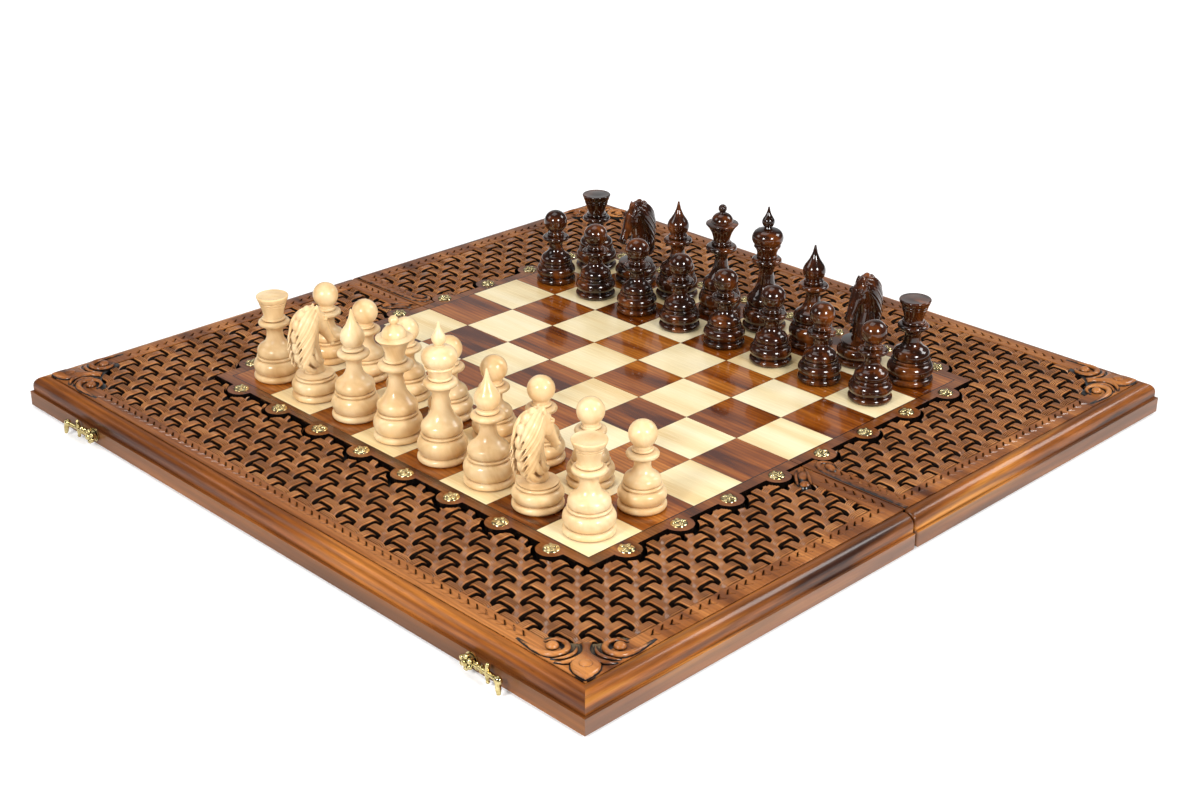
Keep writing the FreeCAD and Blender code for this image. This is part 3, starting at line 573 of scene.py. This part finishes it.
# horse's head: rings up the neck, over the poll and down the face, in mm
horse = {
    "rings": [  # forward, height, half depth, half width, lean of the ring in degrees
        (0.2, 17.6, 8.0, 7.0, 0), (-0.6, 24.0, 7.9, 6.4, 0), (-2.4, 33.0, 8.2, 6.4, 4),
        (-3.9, 42.0, 7.7, 6.2, 0), (-2.9, 50.0, 7.7, 6.0, -15), (-0.3, 57.0, 8.8, 5.8, -50),
        (3.2, 59.8, 9.0, 5.6, -92), (5.4, 57.4, 7.4, 5.4, -135), (8.3, 52.6, 5.8, 4.8, -150),
        (11.2, 47.6, 4.3, 3.9, -153), (13.9, 43.6, 3.4, 3.2, -153), (15.5, 40.2, 3.3, 3.2, -153),
        (16.4, 37.6, 2.3, 2.5, -155), (16.8, 36.6, 1.0, 1.2, -155)],
    "ringPoints": 20,
    "voxel": 0.38,
    "lock": (1.0, 2.3, 2.6, 2.2, 0.4),
    "thinLock": (0.5, 1.2, 1.4, 1.2, 0.3),
    "outward": 2.6,
    "forelock": [(0.4, 1.0, 69.0), (0.8, 7.0, 66.4), (0.5, 10.0, 61.4), (0.0, 11.6, 57.0)],
    "ear": [(2.6, 4.2, 62.6), (3.1, 3.2, 66.6), (2.5, 3.4, 69.6), (2.1, 3.8, 70.9)],
    "face": [  # size, place and tilt
        ((2.4, 4.6, 5.6), (3.5, 6.0, 54.6), 0.45),  # cheek
        ((1.3, 1.5, 1.2), (4.9, 9.0, 59.2), 0.0),  # eye
        ((1.0, 2.4, 0.8), (4.8, 9.0, 61.0), -0.6),  # brow
        ((1.0, 1.3, 1.1), (2.7, 16.9, 40.0), 0.0),  # nostril
        ((1.3, 1.8, 1.0), (2.2, 15.2, 37.2), 0.5),  # lip
    ],
}
maneLocks = [  # out to the side, forward and height along each lock, from the crest to its tip
    [(0.8, 2.4, 69.2), (3.2, -4.4, 68.0), (5.0, -10.2, 63.8), (5.0, -14.4, 57.6), (3.4, -18.0, 51.4)],
    [(2.4, 1.4, 67.4), (5.6, -4.2, 64.6), (6.6, -9.0, 58.8), (6.2, -13.8, 52.0), (4.0, -18.8, 45.2)],
    [(4.2, 2.6, 64.4), (6.6, -2.2, 60.6), (7.4, -6.4, 54.6), (6.8, -11.8, 47.6), (4.2, -18.8, 39.8)],
    [(5.4, 1.6, 60.0), (7.0, -2.6, 54.6), (7.7, -6.8, 48.6), (7.2, -12.0, 41.8), (4.6, -18.2, 33.8)],
    [(6.0, -1.4, 53.4), (7.2, -4.4, 48.0), (7.8, -8.4, 42.0), (7.2, -12.8, 35.4), (4.8, -16.8, 28.4)],
    [(6.2, -3.8, 46.0), (7.2, -6.6, 40.2), (7.6, -10.0, 34.2), (7.0, -12.8, 29.4), (5.0, -14.4, 25.2)],
]
maneCurls = [  # the lowest locks, whose tips turn forward round the neck
    [(6.4, -8.0, 44.0), (8.2, -9.6, 37.0), (8.5, -7.6, 30.6), (7.6, -3.0, 26.8), (6.2, 1.6, 26.8)],
    [(6.8, -3.4, 41.0), (8.0, -4.4, 35.0), (8.1, -2.2, 30.0), (7.0, 1.6, 28.0), (5.8, 4.8, 29.4)],
    [(5.0, -12.6, 36.0), (7.0, -13.4, 30.0), (7.6, -11.0, 25.6), (7.2, -6.6, 23.4), (6.2, -1.8, 23.4)],
]
crest = [(-3.4, 66.8, 3.2), (-8.6, 63.6, 3.6), (-12.4, 57.6, 3.8), (-14.4, 50.0, 3.8), (-14.4, 42.0, 3.8),
         (-13.4, 34.0, 3.4), (-11.2, 28.4, 2.8)]


def horseHead():
    deselect()
    bpy.ops.mesh.primitive_circle_add(vertices=horse["ringPoints"], radius=mm, fill_type="NGON")
    obj = done("horseHead")
    edit(obj)
    for ring in horse["rings"][1:]:
        bpy.ops.mesh.extrude_region_move(TRANSFORM_OT_translate={"value": (0, 0, mm)})
    done()
    for vert in obj.data.vertices:  # each ring is laid at its own place along neck and face
        level = min(len(horse["rings"]) - 1, max(0, round(vert.co.z / mm)))
        forward, height, depth, width, lean = horse["rings"][level]
        across, deep = vert.co.x / mm * width, vert.co.y / mm * depth
        lean = math.radians(lean)
        vert.co = Vector((across, forward + deep * math.cos(lean), height + deep * math.sin(lean))) * mm
    tidyMesh(obj)
    parts = [obj]
    for side in (-1, 1):
        for size, (x, y, z), tilt in horse["face"]:
            parts.append(ball(size, (side * x, y, z), (tilt, 0, 0)))
        parts.append(strand([(side * x, y, z) for x, y, z in horse["ear"]], (2.0, 2.0, 1.2, 0.2)))
        for lock in maneLocks + maneCurls:
            parts.append(strand([(side * x, y, z) for x, y, z in lock], horse["lock"]))
        for upper, lower in zip(maneLocks, maneLocks[1:]):  # a thinner lock lies over each pair
            middle = [(side * (a[0] + b[0] + horse["outward"]) / 2, (a[1] + b[1]) / 2, (a[2] + b[2]) / 2)
                      for a, b in zip(upper, lower)]
            parts.append(strand(middle, horse["thinLock"]))
    for forward, height, size in crest:
        parts.append(ball((3.6, size, size * 1.5), (0, forward, height)))
    parts.append(strand(horse["forelock"], (1.4, 1.7, 1.2, 0.3)))
    head = joined(parts, "horseHead")
    modify(head, "REMESH", mode="VOXEL", voxel_size=horse["voxel"] * mm, use_smooth_shade=True)
    return modify(head, "SMOOTH", factor=0.5, iterations=1)


patterns["knight"] = smooth(joined([patterns["knight"], horseHead()], "pattern_knight"), 60)
print("horse's head carved")

backRank = ("rook", "knight", "bishop", "king", "queen", "bishop", "knight", "rook")
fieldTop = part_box("near_light_squares")[1].z / mm
players = {  # rows of the officers and the pawns, the way they face, and their wood
    "light": (0, 1, 0.0, boxwood),
    "dark": (7, 6, turn / 2, stainedWood),
}


def standMen(tone, officerRow, pawnRow, facing, material):
    men = [(kind, column, officerRow) for column, kind in enumerate(backRank)]
    men += [("pawn", column, pawnRow) for column in range(8)]
    for kind, column, row in men:
        number = ""
        if kind == "pawn":
            number = f"_{column + 1}"
        elif backRank.count(kind) > 1:
            number = f"_{1 if column < 4 else 2}"
        node = f"{tone}_{kind}{number}"
        place = spotAt((3.5 - column) * square, (row - 3.5) * square, fieldTop, facing)
        man = copyAt(patterns[kind], f"{node}_turned", place)
        finishPiece(man, node, material, f"{tone}_men", node)


for tone, player in players.items():
    standMen(tone, *player)
for pattern in patterns.values():
    bpy.data.objects.remove(pattern)
print("men placed")


# side rails, rounded where they meet at the seam
sideRail = {"section": [(288.0, 1.95), (300.0, 1.95), (300.0, 13.1), (298.0, 13.1), (298.0, 17.9)],
            "round": ((294.66, 23.78), (288.0, 25.0)), "seam": 0.8, "corner": 300.0, "ease": 1.6}


def roundedRail():
    outline = sideRail["section"] + arcPoints(sideRail["section"][-1], *sideRail["round"])
    deselect()
    bpy.ops.mesh.primitive_circle_add(vertices=len(outline), radius=mm, fill_type="NGON")
    obj = done("roundedRail")
    for vert, (x, z) in zip(obj.data.vertices, outline):
        vert.co = Vector((x, sideRail["seam"], z)) * mm
    edit(obj)
    bpy.ops.mesh.extrude_region_move(TRANSFORM_OT_translate={"value": (0, (sideRail["corner"] + 1) * mm, 0)})
    bpy.ops.mesh.select_all(action="SELECT")
    bpy.ops.mesh.bisect(plane_co=(0, 0, 0), plane_no=(-1, 1, 0), use_fill=True, clear_outer=True)  # the mitre
    done()
    tidyMesh(obj)
    edit(obj, "DESELECT")
    done()
    for part in (*obj.data.polygons, *obj.data.edges):
        part.select = all(obj.data.vertices[i].co.y < (sideRail["seam"] + 0.1) * mm for i in part.vertices)
    only(obj)
    bpy.ops.object.mode_set(mode="EDIT")
    bpy.ops.mesh.select_mode(type="EDGE")
    bpy.ops.mesh.bevel(offset=sideRail["ease"] * mm, segments=4, affect="EDGES")
    bpy.ops.mesh.select_mode(type="VERT")
    done()
    return smooth(obj, 35)


pattern = roundedRail()
for half, side in halves:
    pair = [copyAt(pattern, "rail", Matrix.Diagonal((sign, side, 1, 1))) for sign in (-1, 1)]
    rails = joined(pair, f"{half}_rounded_rails")
    finishPiece(rails, f"{half}_half", railAcross, "frame_walnut", f"{half}_side_rails")
bpy.data.objects.remove(pattern)
print("side rails shaped")


# carved panels: border with chevron cuts round a sunk bed
panel = {"reach": 288.0, "weave": 274.2, "seamStrip": 14.2, "seam": 0.6, "under": 13.55, "top": 26.2,
         "bed": 19.0, "ease": 0.4, "fieldEdge": 199.8, "slot": 202.3,
         "seat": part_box("near_scalloped_border")[0].z / mm}
chevron = {"pitch": 8.1, "line": 279.6, "first": 14.0, "besides": 27, "outer": 28,
           "seamLine": {"near": 6.8, "far": 9.3}, "seamFirst": 228.0, "seamPitch": 7.8, "seamCount": 7,
           "half": 3.2, "reach": 2.0, "groove": 1.6, "deep": 1.6}
clear = 5  # how far a cutter stands out of the wood


def chevronCut():
    h, r, g, d = (chevron[k] for k in ("half", "reach", "groove", "deep"))
    top = panel["top"]
    verts, faces = [], []
    for x, y, wide, deep in ((-r, h, g * 0.7, d * 0.8), (r, 0.0, g * 1.3, d), (-r, -h, g * 0.7, d * 0.8)):
        verts += [(x - wide, y, top + 0.2), (x, y, top - deep), (x + wide, y, top + 0.2)]
    for k in (0, 3):  # a V-groove bent to a point
        faces += [(k, k + 3, k + 4, k + 1), (k + 1, k + 4, k + 5, k + 2), (k + 2, k + 5, k + 3, k)]
    faces += [(0, 1, 2), (6, 8, 7)]
    mesh = bpy.data.meshes.new("chevronCut")
    mesh.from_pydata([Vector(v) * mm for v in verts], [], faces)
    obj = bpy.data.objects.new("chevronCut", mesh)
    scene.collection.objects.link(obj)
    return tidyMesh(obj)


def chevronRow(mark, half, side):
    spots = []
    pitch, line = chevron["pitch"], chevron["line"]
    for sign in (-1, 1):
        for k in range(chevron["besides"]):  # along the two short borders
            spots.append((sign * line, side * (chevron["first"] + k * pitch), -turn / 4))
        for k in range(chevron["seamCount"]):  # beside the seam
            x = sign * (chevron["seamFirst"] + k * chevron["seamPitch"])
            spots.append((x, side * chevron["seamLine"][half], 0.0))
    for k in range(-chevron["outer"], chevron["outer"] + 1):  # along the outer border
        spots.append((k * pitch, side * line, 0.0))
    return joined([copyAt(mark, "cut", spotAt(x, y, 0, angle)) for x, y, angle in spots], "chevronRow")


def panelBody(half, side):
    reach, edge, bed, high = panel["reach"], panel["fieldEdge"], panel["bed"], panel["top"] + clear
    body = boxAt(f"{half}_carved_border", (-reach, side * panel["seam"], panel["under"]),
                 (reach, side * reach, panel["top"]))
    cutWith(body, boxAt("bed", (-panel["weave"], side * panel["seamStrip"], bed),
                        (panel["weave"], side * panel["weave"], high)))
    modify(body, "BEVEL", width=panel["ease"] * mm, segments=3, limit_method="ANGLE")
    cutWith(body, boxAt("seat", (-edge, side * -1.0, panel["seat"]), (edge, side * edge, high)))
    for sign in (-1, 1):
        cutWith(body, boxAt("slot", (sign * (edge - 0.1), side * -1.0, bed),
                            (sign * panel["slot"], side * (panel["seamStrip"] + 0.6), high)))
    mark = chevronCut()
    cutWith(body, chevronRow(mark, half, side))
    bpy.data.objects.remove(mark)
    return smooth(body, 30)


# basket weave: one slat's stride over its neighbour, copied all over the bed
slat = {"pitch": 12.56, "rowPitch": 12.4, "firstRow": 24.1, "crown": 25.9, "low": 22.3, "gap": 3.0,
        "along": (-10.6, -8.9, -6.7, -4.6, 4.6, 6.7, 8.9, 10.6),
        "climb": (0.0, 0.1, 0.78, 1.0, 1.0, 0.78, 0.1, 0.0),
        "across": (-2.95, -2.5, -1.9, -1.45, -1.0, -0.45, 0.0, 0.45, 1.0, 1.45, 1.9, 2.5, 2.95),
        "ribs": (-0.8, -0.05, -0.05, -0.6, 0.0, 0.0, -0.6, 0.0, 0.0, -0.6, -0.05, -0.05, -0.8),
        "furrows": (0, 0, 0, 1, 0, 0, 1, 0, 0, 1, 0, 0, 0),
        "rows": range(-1, 22), "columns": range(-23, 23), "overrun": 8.0, "underrun": 6.0, "trim": 36.0}
studs = {"line": 4 * square + 9.2, "lobe": 10.2, "dome": (5.7, 5.7, 1.5), "button": (1.5, 1.5, 1.0),
         "petal": (2.2, 1.5, 1.1), "petals": 4, "petalRing": 3.0, "twist": 0.7}


def slatArch():
    deselect()
    long, wide = len(slat["along"]) - 1, len(slat["across"]) - 1
    bpy.ops.mesh.primitive_grid_add(x_subdivisions=long, y_subdivisions=wide, size=2)
    obj = done("slatArch")
    for name in ("tone", "furrow"):
        obj.data.attributes.new(name, "FLOAT", "POINT")
    furrow = obj.data.attributes["furrow"]
    for vert in obj.data.vertices:
        u, v = round((vert.co.x + 1) * long / 2), round((vert.co.y + 1) * wide / 2)
        height = slat["low"] + (slat["crown"] - slat["low"]) * slat["climb"][u] + slat["ribs"][v]
        vert.co = Vector((slat["along"][u], slat["across"][v], height)) * mm
        furrow.data[vert.index].value = slat["furrows"][v]
    edit(obj)
    bpy.ops.mesh.extrude_region_move(TRANSFORM_OT_translate={"value": (0, 0, -4 * mm)})
    bpy.ops.mesh.dissolve_faces()  # one flat underside
    done()
    for vert in obj.data.vertices:
        if vert.select:
            vert.co.z = (panel["bed"] - 0.3) * mm
    return tidyMesh(obj)


def studSpots(side):
    line = studs["line"]
    spots = [((k - 3.5) * square, side * line) for k in range(8)]
    return spots + [(sign * line, side * (k + 0.5) * square) for sign in (-1, 1) for k in range(4)]


def fieldCutter(side, gap):  # the scalloped plate's outline, a channel's width larger
    edge, low, high = panel["fieldEdge"] + gap - 1.0, 10.0, 40.0
    plate = boxAt("plate", (-edge, side * -30.0, low), (edge, side * edge, high))
    for spot in studSpots(side):
        cutWith(plate, rodAt(studs["lobe"] + gap, (*spot, low), (*spot, high), 32), "UNION")
    return plate


def weave(half, side):
    arch = slatArch()
    cutter = fieldCutter(side, slat["gap"])
    pieces = []
    for j in slat["rows"]:
        y = side * (slat["firstRow"] + slat["rowPitch"] * j)
        if abs(y) < panel["seamStrip"] - slat["overrun"]:
            continue
        for k in slat["columns"]:
            x = (k + 0.5) * slat["pitch"]
            reach = max(abs(x), abs(y))
            beyond = reach - panel["fieldEdge"]  # how far out of the chess field
            if reach > panel["weave"] + slat["overrun"] or beyond < -slat["underrun"]:
                continue
            piece = copyAt(arch, "slat", spotAt(x, y, 0, 0.0 if (k + j) % 2 == 0 else turn / 4))
            if beyond < slat["trim"]:  # trimmed along the channel round the chess field
                modify(piece, "BOOLEAN", operation="DIFFERENCE", solver="EXACT", object=cutter)
            if piece.data.polygons:
                own = piece.data.attributes["tone"]
                own.data.foreach_set("value", [(k * 37 + j * 61 + k * j * 7) % 19 / 18] * len(own.data))
                pieces.append(piece)
            else:
                bpy.data.objects.remove(piece)
    bpy.data.objects.remove(arch)
    bpy.data.objects.remove(cutter)
    return smooth(joined(pieces, f"{half}_weave"), 40)


# corner ornament: drop, crescents and two volutes on a pad, drawn for the corner at +X and -Y
padOutline = [(276, -276), (276, -238), (269.5, -240), (267, -245), (266.5, -252), (262.5, -257.5),
              (257.5, -262.5), (252, -266.5), (245, -267), (240, -269.5), (238, -276)]
dropHalf = [(0.0, 3.0), (0.1, 2.2), (0.2, 2.1), (0.3, 3.0), (0.4, 5.2), (0.5, 7.6), (0.6, 8.7), (0.7, 8.4),
            (0.8, 6.8), (0.9, 3.8), (0.97, 1.2)]
voluteScroll = [(284.6, -228.0, 25.6), (286.0, -240.0, 26.2), (286.2, -250.6, 26.6), (282.4, -258.0, 26.8),
                (275.4, -259.8, 26.8), (269.4, -255.6, 26.8), (268.2, -249.0, 26.8), (271.2, -243.4, 26.6),
                (276.4, -242.2, 26.2)]
crescents = [
    [(266.0, -258.4, 26.0), (270.6, -263.6, 26.8), (277.0, -264.8, 27.0), (282.8, -262.4, 26.8),
     (286.0, -257.6, 26.0)],
    [(262.6, -261.0, 26.0), (268.0, -268.2, 26.8), (276.4, -270.4, 27.0), (283.8, -267.4, 26.8),
     (287.0, -261.6, 26.0)],
]
scrollRadii = (0.5, 1.4, 2.1, 2.4, 2.2, 1.9, 1.6, 1.2, 0.5)
crescentRadii = ((0.4, 1.2, 1.5, 1.2, 0.4), (0.5, 1.7, 2.2, 1.7, 0.5))


def dropOutline(grow):
    out = Vector((1, 1)).normalized()
    along = Vector((1, -1)).normalized()
    stem, tip = Vector((261.0, -261.0)), Vector((287.2, -287.2)) + along * grow
    run = tip - stem
    left = [stem + run * t + out * (w + grow) for t, w in dropHalf]
    right = [stem + run * t - out * (w + grow) for t, w in reversed(dropHalf)]
    outline = [tuple(p) for p in [*right, *left, tip]]
    if sum(a[0] * b[1] - b[0] * a[1] for a, b in zip(outline, outline[1:] + outline[:1])) < 0:
        outline.reverse()  # counter-clockwise
    return outline


def cornerOrnament():
    parts = [cushion(padOutline, 19.0, 6.6, ((0.5, 0.3),))]
    parts.append(cushion(dropOutline(0.0), 25.0, 2.4, ((0.35, 0.5), (0.6, 0.5), (0.8, 0.35))))
    parts.append(cushion(dropOutline(0.7), 25.0, 1.3, ()))  # painted shade: flat dark sheet round the drop for a shaded groove
    parts.append(ball((4.0, 4.0, 1.4), (277.4, -277.4, 28.7)))
    mirror = Matrix(((0, -1, 0, 0), (-1, 0, 0, 0), (0, 0, 1, 0), (0, 0, 0, 1)))
    arm = [ball((3.9, 3.9, 3.2), (276.6, -249.4, 26.6))]
    for path, thick in zip([voluteScroll, *crescents], [scrollRadii, *crescentRadii]):
        arm.append(strand(path, thick))
        arm.append(strand(path, [t + 0.6 for t in thick], squash=(26.22, 0.05)))  # painted shade: flat dark sheet round the stroke for a shaded groove
    arm = joined(arm, "ornamentArm")
    return smooth(joined(parts + [copyAt(arm, "ornamentArm", mirror), arm], "cornerOrnament"), 50)


# seam ornaments: a bud on the near half, a raised lip ending in a volute on the far half
def seamBud():
    lean = math.atan2(-0.78, 0.62)
    parts = [ball((11.0, 6.0, 5.6), (213.0, -11.0, 22.4), (0, 0, lean)),
             ball((5.6, 4.8, 6.0), (221.6, -20.0, 22.6), (0, 0, lean)),
             strand([(206.0, -1.6, 26.2), (212.6, -5.4, 27.4), (219.6, -13.4, 27.6), (224.6, -17.0, 26.6)],
                    (0.6, 1.5, 1.6, 0.5)),
             strand([(203.6, -6.0, 25.6), (207.4, -14.0, 26.6), (215.4, -21.6, 26.8), (220.6, -25.0, 25.6)],
                    (0.5, 1.4, 1.5, 0.5))]
    return smooth(joined(parts, "seamBud"), 50)


def seamVolute():
    lip = [(288.0, 2.9, 24.7), (270.0, 2.9, 24.7), (245.0, 2.9, 24.7), (228.0, 3.2, 24.8), (214.0, 4.4, 25.2),
           (207.4, 9.0, 25.6), (208.6, 15.6, 25.8), (215.0, 18.0, 25.8), (219.0, 15.8, 25.6)]
    parts = [strand(lip, (2.5, 2.5, 2.5, 2.5, 2.5, 2.3, 1.9, 1.4, 0.6)),
             ball((8.6, 4.8, 6.0), (218.0, 11.4, 22.4), (0, 0, -0.5))]
    return smooth(joined(parts, "seamVolute"), 50)


ornament, bud, volute = cornerOrnament(), seamBud(), seamVolute()
for half, side in halves:
    body = f"{half}_half"
    finishPiece(panelBody(half, side), body, carvedWalnut, "carved_walnut", f"{half}_carved_panel")
    finishPiece(weave(half, side), body, weaveWalnut, "carved_walnut")
    seamEnd = bud if half == "near" else volute
    copies = [copyAt(ornament, "corner", Matrix.Diagonal((sign, -side, 1, 1))) for sign in (-1, 1)]
    copies += [copyAt(seamEnd, "seamEnd", Matrix.Diagonal((sign, 1, 1, 1))) for sign in (-1, 1)]
    finishPiece(joined(copies, f"{half}_ornaments"), body, ornamentWalnut, "carved_walnut")
    print(half, "panel carved")
for pattern in (ornament, bud, volute):
    bpy.data.objects.remove(pattern)


# cast studs round the chess field
def castStud():
    parts = [ball(studs["dome"], (0, 0, 0.1), segments=24, rings=10),
             ball(studs["button"], (0, 0, 1.5), segments=12, rings=8)]
    for k in range(studs["petals"]):
        angle = turn * (k + 0.5) / studs["petals"]
        spot = (studs["petalRing"] * math.cos(angle), studs["petalRing"] * math.sin(angle), 1.25)
        parts.append(ball(studs["petal"], spot, (0, 0.22, angle), 12, 8))
    return smooth(joined(parts, "castStud"), 50)


stud = castStud()
for half, side in halves:
    copies = [copyAt(stud, "stud", spotAt(x, y, fieldTop, studs["twist"] * k))
              for k, (x, y) in enumerate(studSpots(side))]
    heads = joined(copies, f"{half}_cast_studs")
    finishPiece(heads, f"{half}_half", paleBrass, "brass", f"{half}_brass_studs")
bpy.data.objects.remove(stud)
print("studs set")

# cast hooks, their rosettes and the catches
hook = {"pivot": 207.0, "height": 9.4, "wall": 300.0, "catch": 10.6, "petals": 6, "petalRing": 3.7}


def rosette():
    x, z, y = hook["pivot"], hook["height"], -hook["wall"]
    parts = [rodAt(5.0, (x, y, z), (x, y - 1.4, z), 32), rodAt(3.4, (x, y - 1.2, z), (x, y - 5.2, z), 24),
             ball((2.5, 2.2, 2.5), (x, y - 6.0, z))]
    for k in range(hook["petals"]):
        angle = turn * (k + 0.5) / hook["petals"]
        spot = (x + hook["petalRing"] * math.cos(angle), y - 5.2, z + hook["petalRing"] * math.sin(angle))
        parts.append(ball((2.0, 1.7, 2.0), spot))
    return smooth(joined(parts, "rosette"), 50)


def castHook():
    x, z, y = hook["pivot"], hook["height"], -hook["wall"] - 3.0
    parts = [rodAt(4.1, (x, y + 1.2, z), (x, y - 1.2, z), 24),
             strand([(x + 2, y, z), (x + 8, y - 0.4, z + 0.3), (x + 14, y - 0.6, z - 0.2),
                     (x + 22, y - 1.2, z + 0.3), (x + 29, y - 2.6, z + 0.6)], (2.0, 1.5, 2.2, 1.4, 2.0)),
             ball((1.1, 2.4, 2.9), (x + 8.2, y - 0.4, z + 0.3)),
             ball((1.2, 2.5, 3.1), (x + 12.4, y - 0.5, z)),
             strand([(x + 17.4, y - 0.9, z - 6.2), (x + 16.6, y - 0.8, z - 2.4), (x + 16.8, y - 0.9, z + 2.4),
                     (x + 17.6, y - 1.0, z + 6.2)], (0.8, 2.0, 2.0, 0.9)),
             ball((1.5, 1.4, 1.5), (x + 17.5, y - 1.0, z + 5.6)),
             ball((1.3, 1.3, 1.4), (x + 17.4, y - 0.9, z - 5.8)),
             ball((2.9, 2.5, 3.0), (x + 28.6, y - 3.0, z + 1.2)),
             strand([(x + 29.0, y - 3.6, z + 2.4), (x + 29.2, y - 3.8, z - 1.0), (x + 29.8, y - 4.0, z - 4.4),
                     (x + 30.4, y - 4.2, z - 7.0)], (1.4, 2.2, 1.9, 1.2))]
    return smooth(joined(parts, "castHook"), 50)


def catchKnob():
    outline = [(3.0, 0.0), (3.0, 0.8), (1.7, 1.4), (1.5, 4.6), (2.3, 5.0), (2.6, 7.0, 1.7, 8.4),
               (0.9, 8.9, 0.0, 8.95)]
    obj = turned("catchKnob", outline, 24)
    obj.data.transform(Matrix.Translation(Vector((hook["pivot"], hook["wall"], hook["catch"])) * mm)
                       @ Matrix.Rotation(-turn / 4, 4, "X"))
    return obj


mirrored = Matrix.Diagonal((-1, 1, 1, 1))
head, arm, knob = rosette(), castHook(), catchKnob()
leftArm = copyAt(arm, "left_cast_hook", mirrored)
arm.name = arm.data.name = "right_cast_hook"
plates = joined([copyAt(head, "rosette", mirrored), head], "hook_rosettes")
knobs = joined([copyAt(knob, "knob", mirrored), knob], "catch_knobs")
finishPiece(plates, "near_half", brass, "brass", "hook_plates")
finishPiece(knobs, "far_half", brass, "brass", "catch_posts")
finishPiece(leftArm, "left_hook", brass, "brass", "left_hook")
finishPiece(arm, "right_hook", brass, "brass", "right_hook")
print("hooks cast")

# floor, light and camera
studio = {"floor": 12, "paper": (0.88, 0.88, 0.88, 1), "glowReach": (0.42, 0.8), "glow": (0.25, 1.0),
          "room": 0.36, "brightWall": (-0.645, 0.638, 0.42), "sheen": (-0.26, 0.14)}
deselect()
bpy.ops.mesh.primitive_plane_add(size=studio["floor"])
floor = done("floor")
paper, tree, shader, place = startMaterial("paleFloor")
shader.inputs["Base Color"].default_value = studio["paper"]
shader.inputs["Roughness"].default_value = 0.9
shader.inputs["Specular IOR Level"].default_value = 0.1
rays = put(tree, "ShaderNodeLightPath").outputs
middle = put(tree, "ShaderNodeVectorMath", {0: place}, operation="LENGTH").outputs["Value"]
level = spread(tree, middle, *studio["glowReach"], *studio["glow"])  # white further out
glow = put(tree, "ShaderNodeEmission", {"Strength": calc(tree, "MULTIPLY", rays["Is Camera Ray"], level)})
mix = put(tree, "ShaderNodeAddShader", {0: shader.outputs[0], 1: glow.outputs[0]})
tree.links.new(mix.outputs[0], tree.nodes["Material Output"].inputs["Surface"])
floor.data.materials.append(paper)

world = bpy.data.worlds.new("whiteRoom")
world.use_nodes = True
scene.world = world
tree = world.node_tree
back = tree.nodes["Background"]
rays = put(tree, "ShaderNodeLightPath").outputs
level = calc(tree, "MULTIPLY_ADD", rays["Is Camera Ray"], 1 - studio["room"], studio["room"])
toward = {0: put(tree, "ShaderNodeTexCoord").outputs["Generated"], 1: studio["brightWall"]}
facing = put(tree, "ShaderNodeVectorMath", toward, operation="DOT_PRODUCT").outputs["Value"]
# gloss takes a bright wall behind and a dim room in front
sheen = spread(tree, facing, 0.8, 0.97, *studio["sheen"])
level = calc(tree, "MULTIPLY_ADD", rays["Is Glossy Ray"], sheen, level)
tree.links.new(level, back.inputs["Strength"])
back.inputs["Color"].default_value = (1, 1, 1, 1)

lamps = {  # way from the middle, distance, size and power
    "frontLeft": ((0.16, -0.85, 0.50), 1.6, 0.35, 13.5),
    "frontRight": ((0.85, -0.14, 0.50), 1.6, 0.35, 14.5),
    "left": ((-0.60, -0.55, 0.56), 2.2, 0.8, 5.5),
    "behind": ((0.42, 0.68, 0.60), 2.4, 0.8, 16.0),
    "above": ((-0.25, 0.0, 1.0), 2.4, 1.4, 10.0),
}
for name, (way, far, size, power) in lamps.items():
    lamp = bpy.data.lights.new(f"{name}Lamp", "AREA")
    lamp.shape, lamp.size, lamp.energy = "SQUARE", size, power
    holder = bpy.data.objects.new(f"{name}Lamp", lamp)
    holder.location = Vector(way).normalized() * far
    holder.rotation_euler = (-Vector(way)).to_track_quat("-Z", "Y").to_euler()
    scene.collection.objects.link(holder)

view = {"place": (0.9052, -0.8871, 0.5960), "right": (0.70174, 0.71243, 0.00308),
        "up": (-0.30164, 0.29320, 0.90722), "ahead": (-0.64543, 0.63756, -0.42065), "lens": 55.63}
camera = bpy.data.objects.new("camera", bpy.data.cameras.new("camera"))
camera.data.lens, camera.data.sensor_width = view["lens"], 36.0
camera.data.clip_start, camera.data.clip_end = 0.01, 100.0
axes = Matrix((view["right"], view["up"], [-c for c in view["ahead"]])).transposed().to_4x4()
camera.matrix_world = Matrix.Translation(view["place"]) @ axes
scene.collection.objects.link(camera)
scene.camera = camera
scene.view_settings.view_transform = "Standard"
print("stage set")
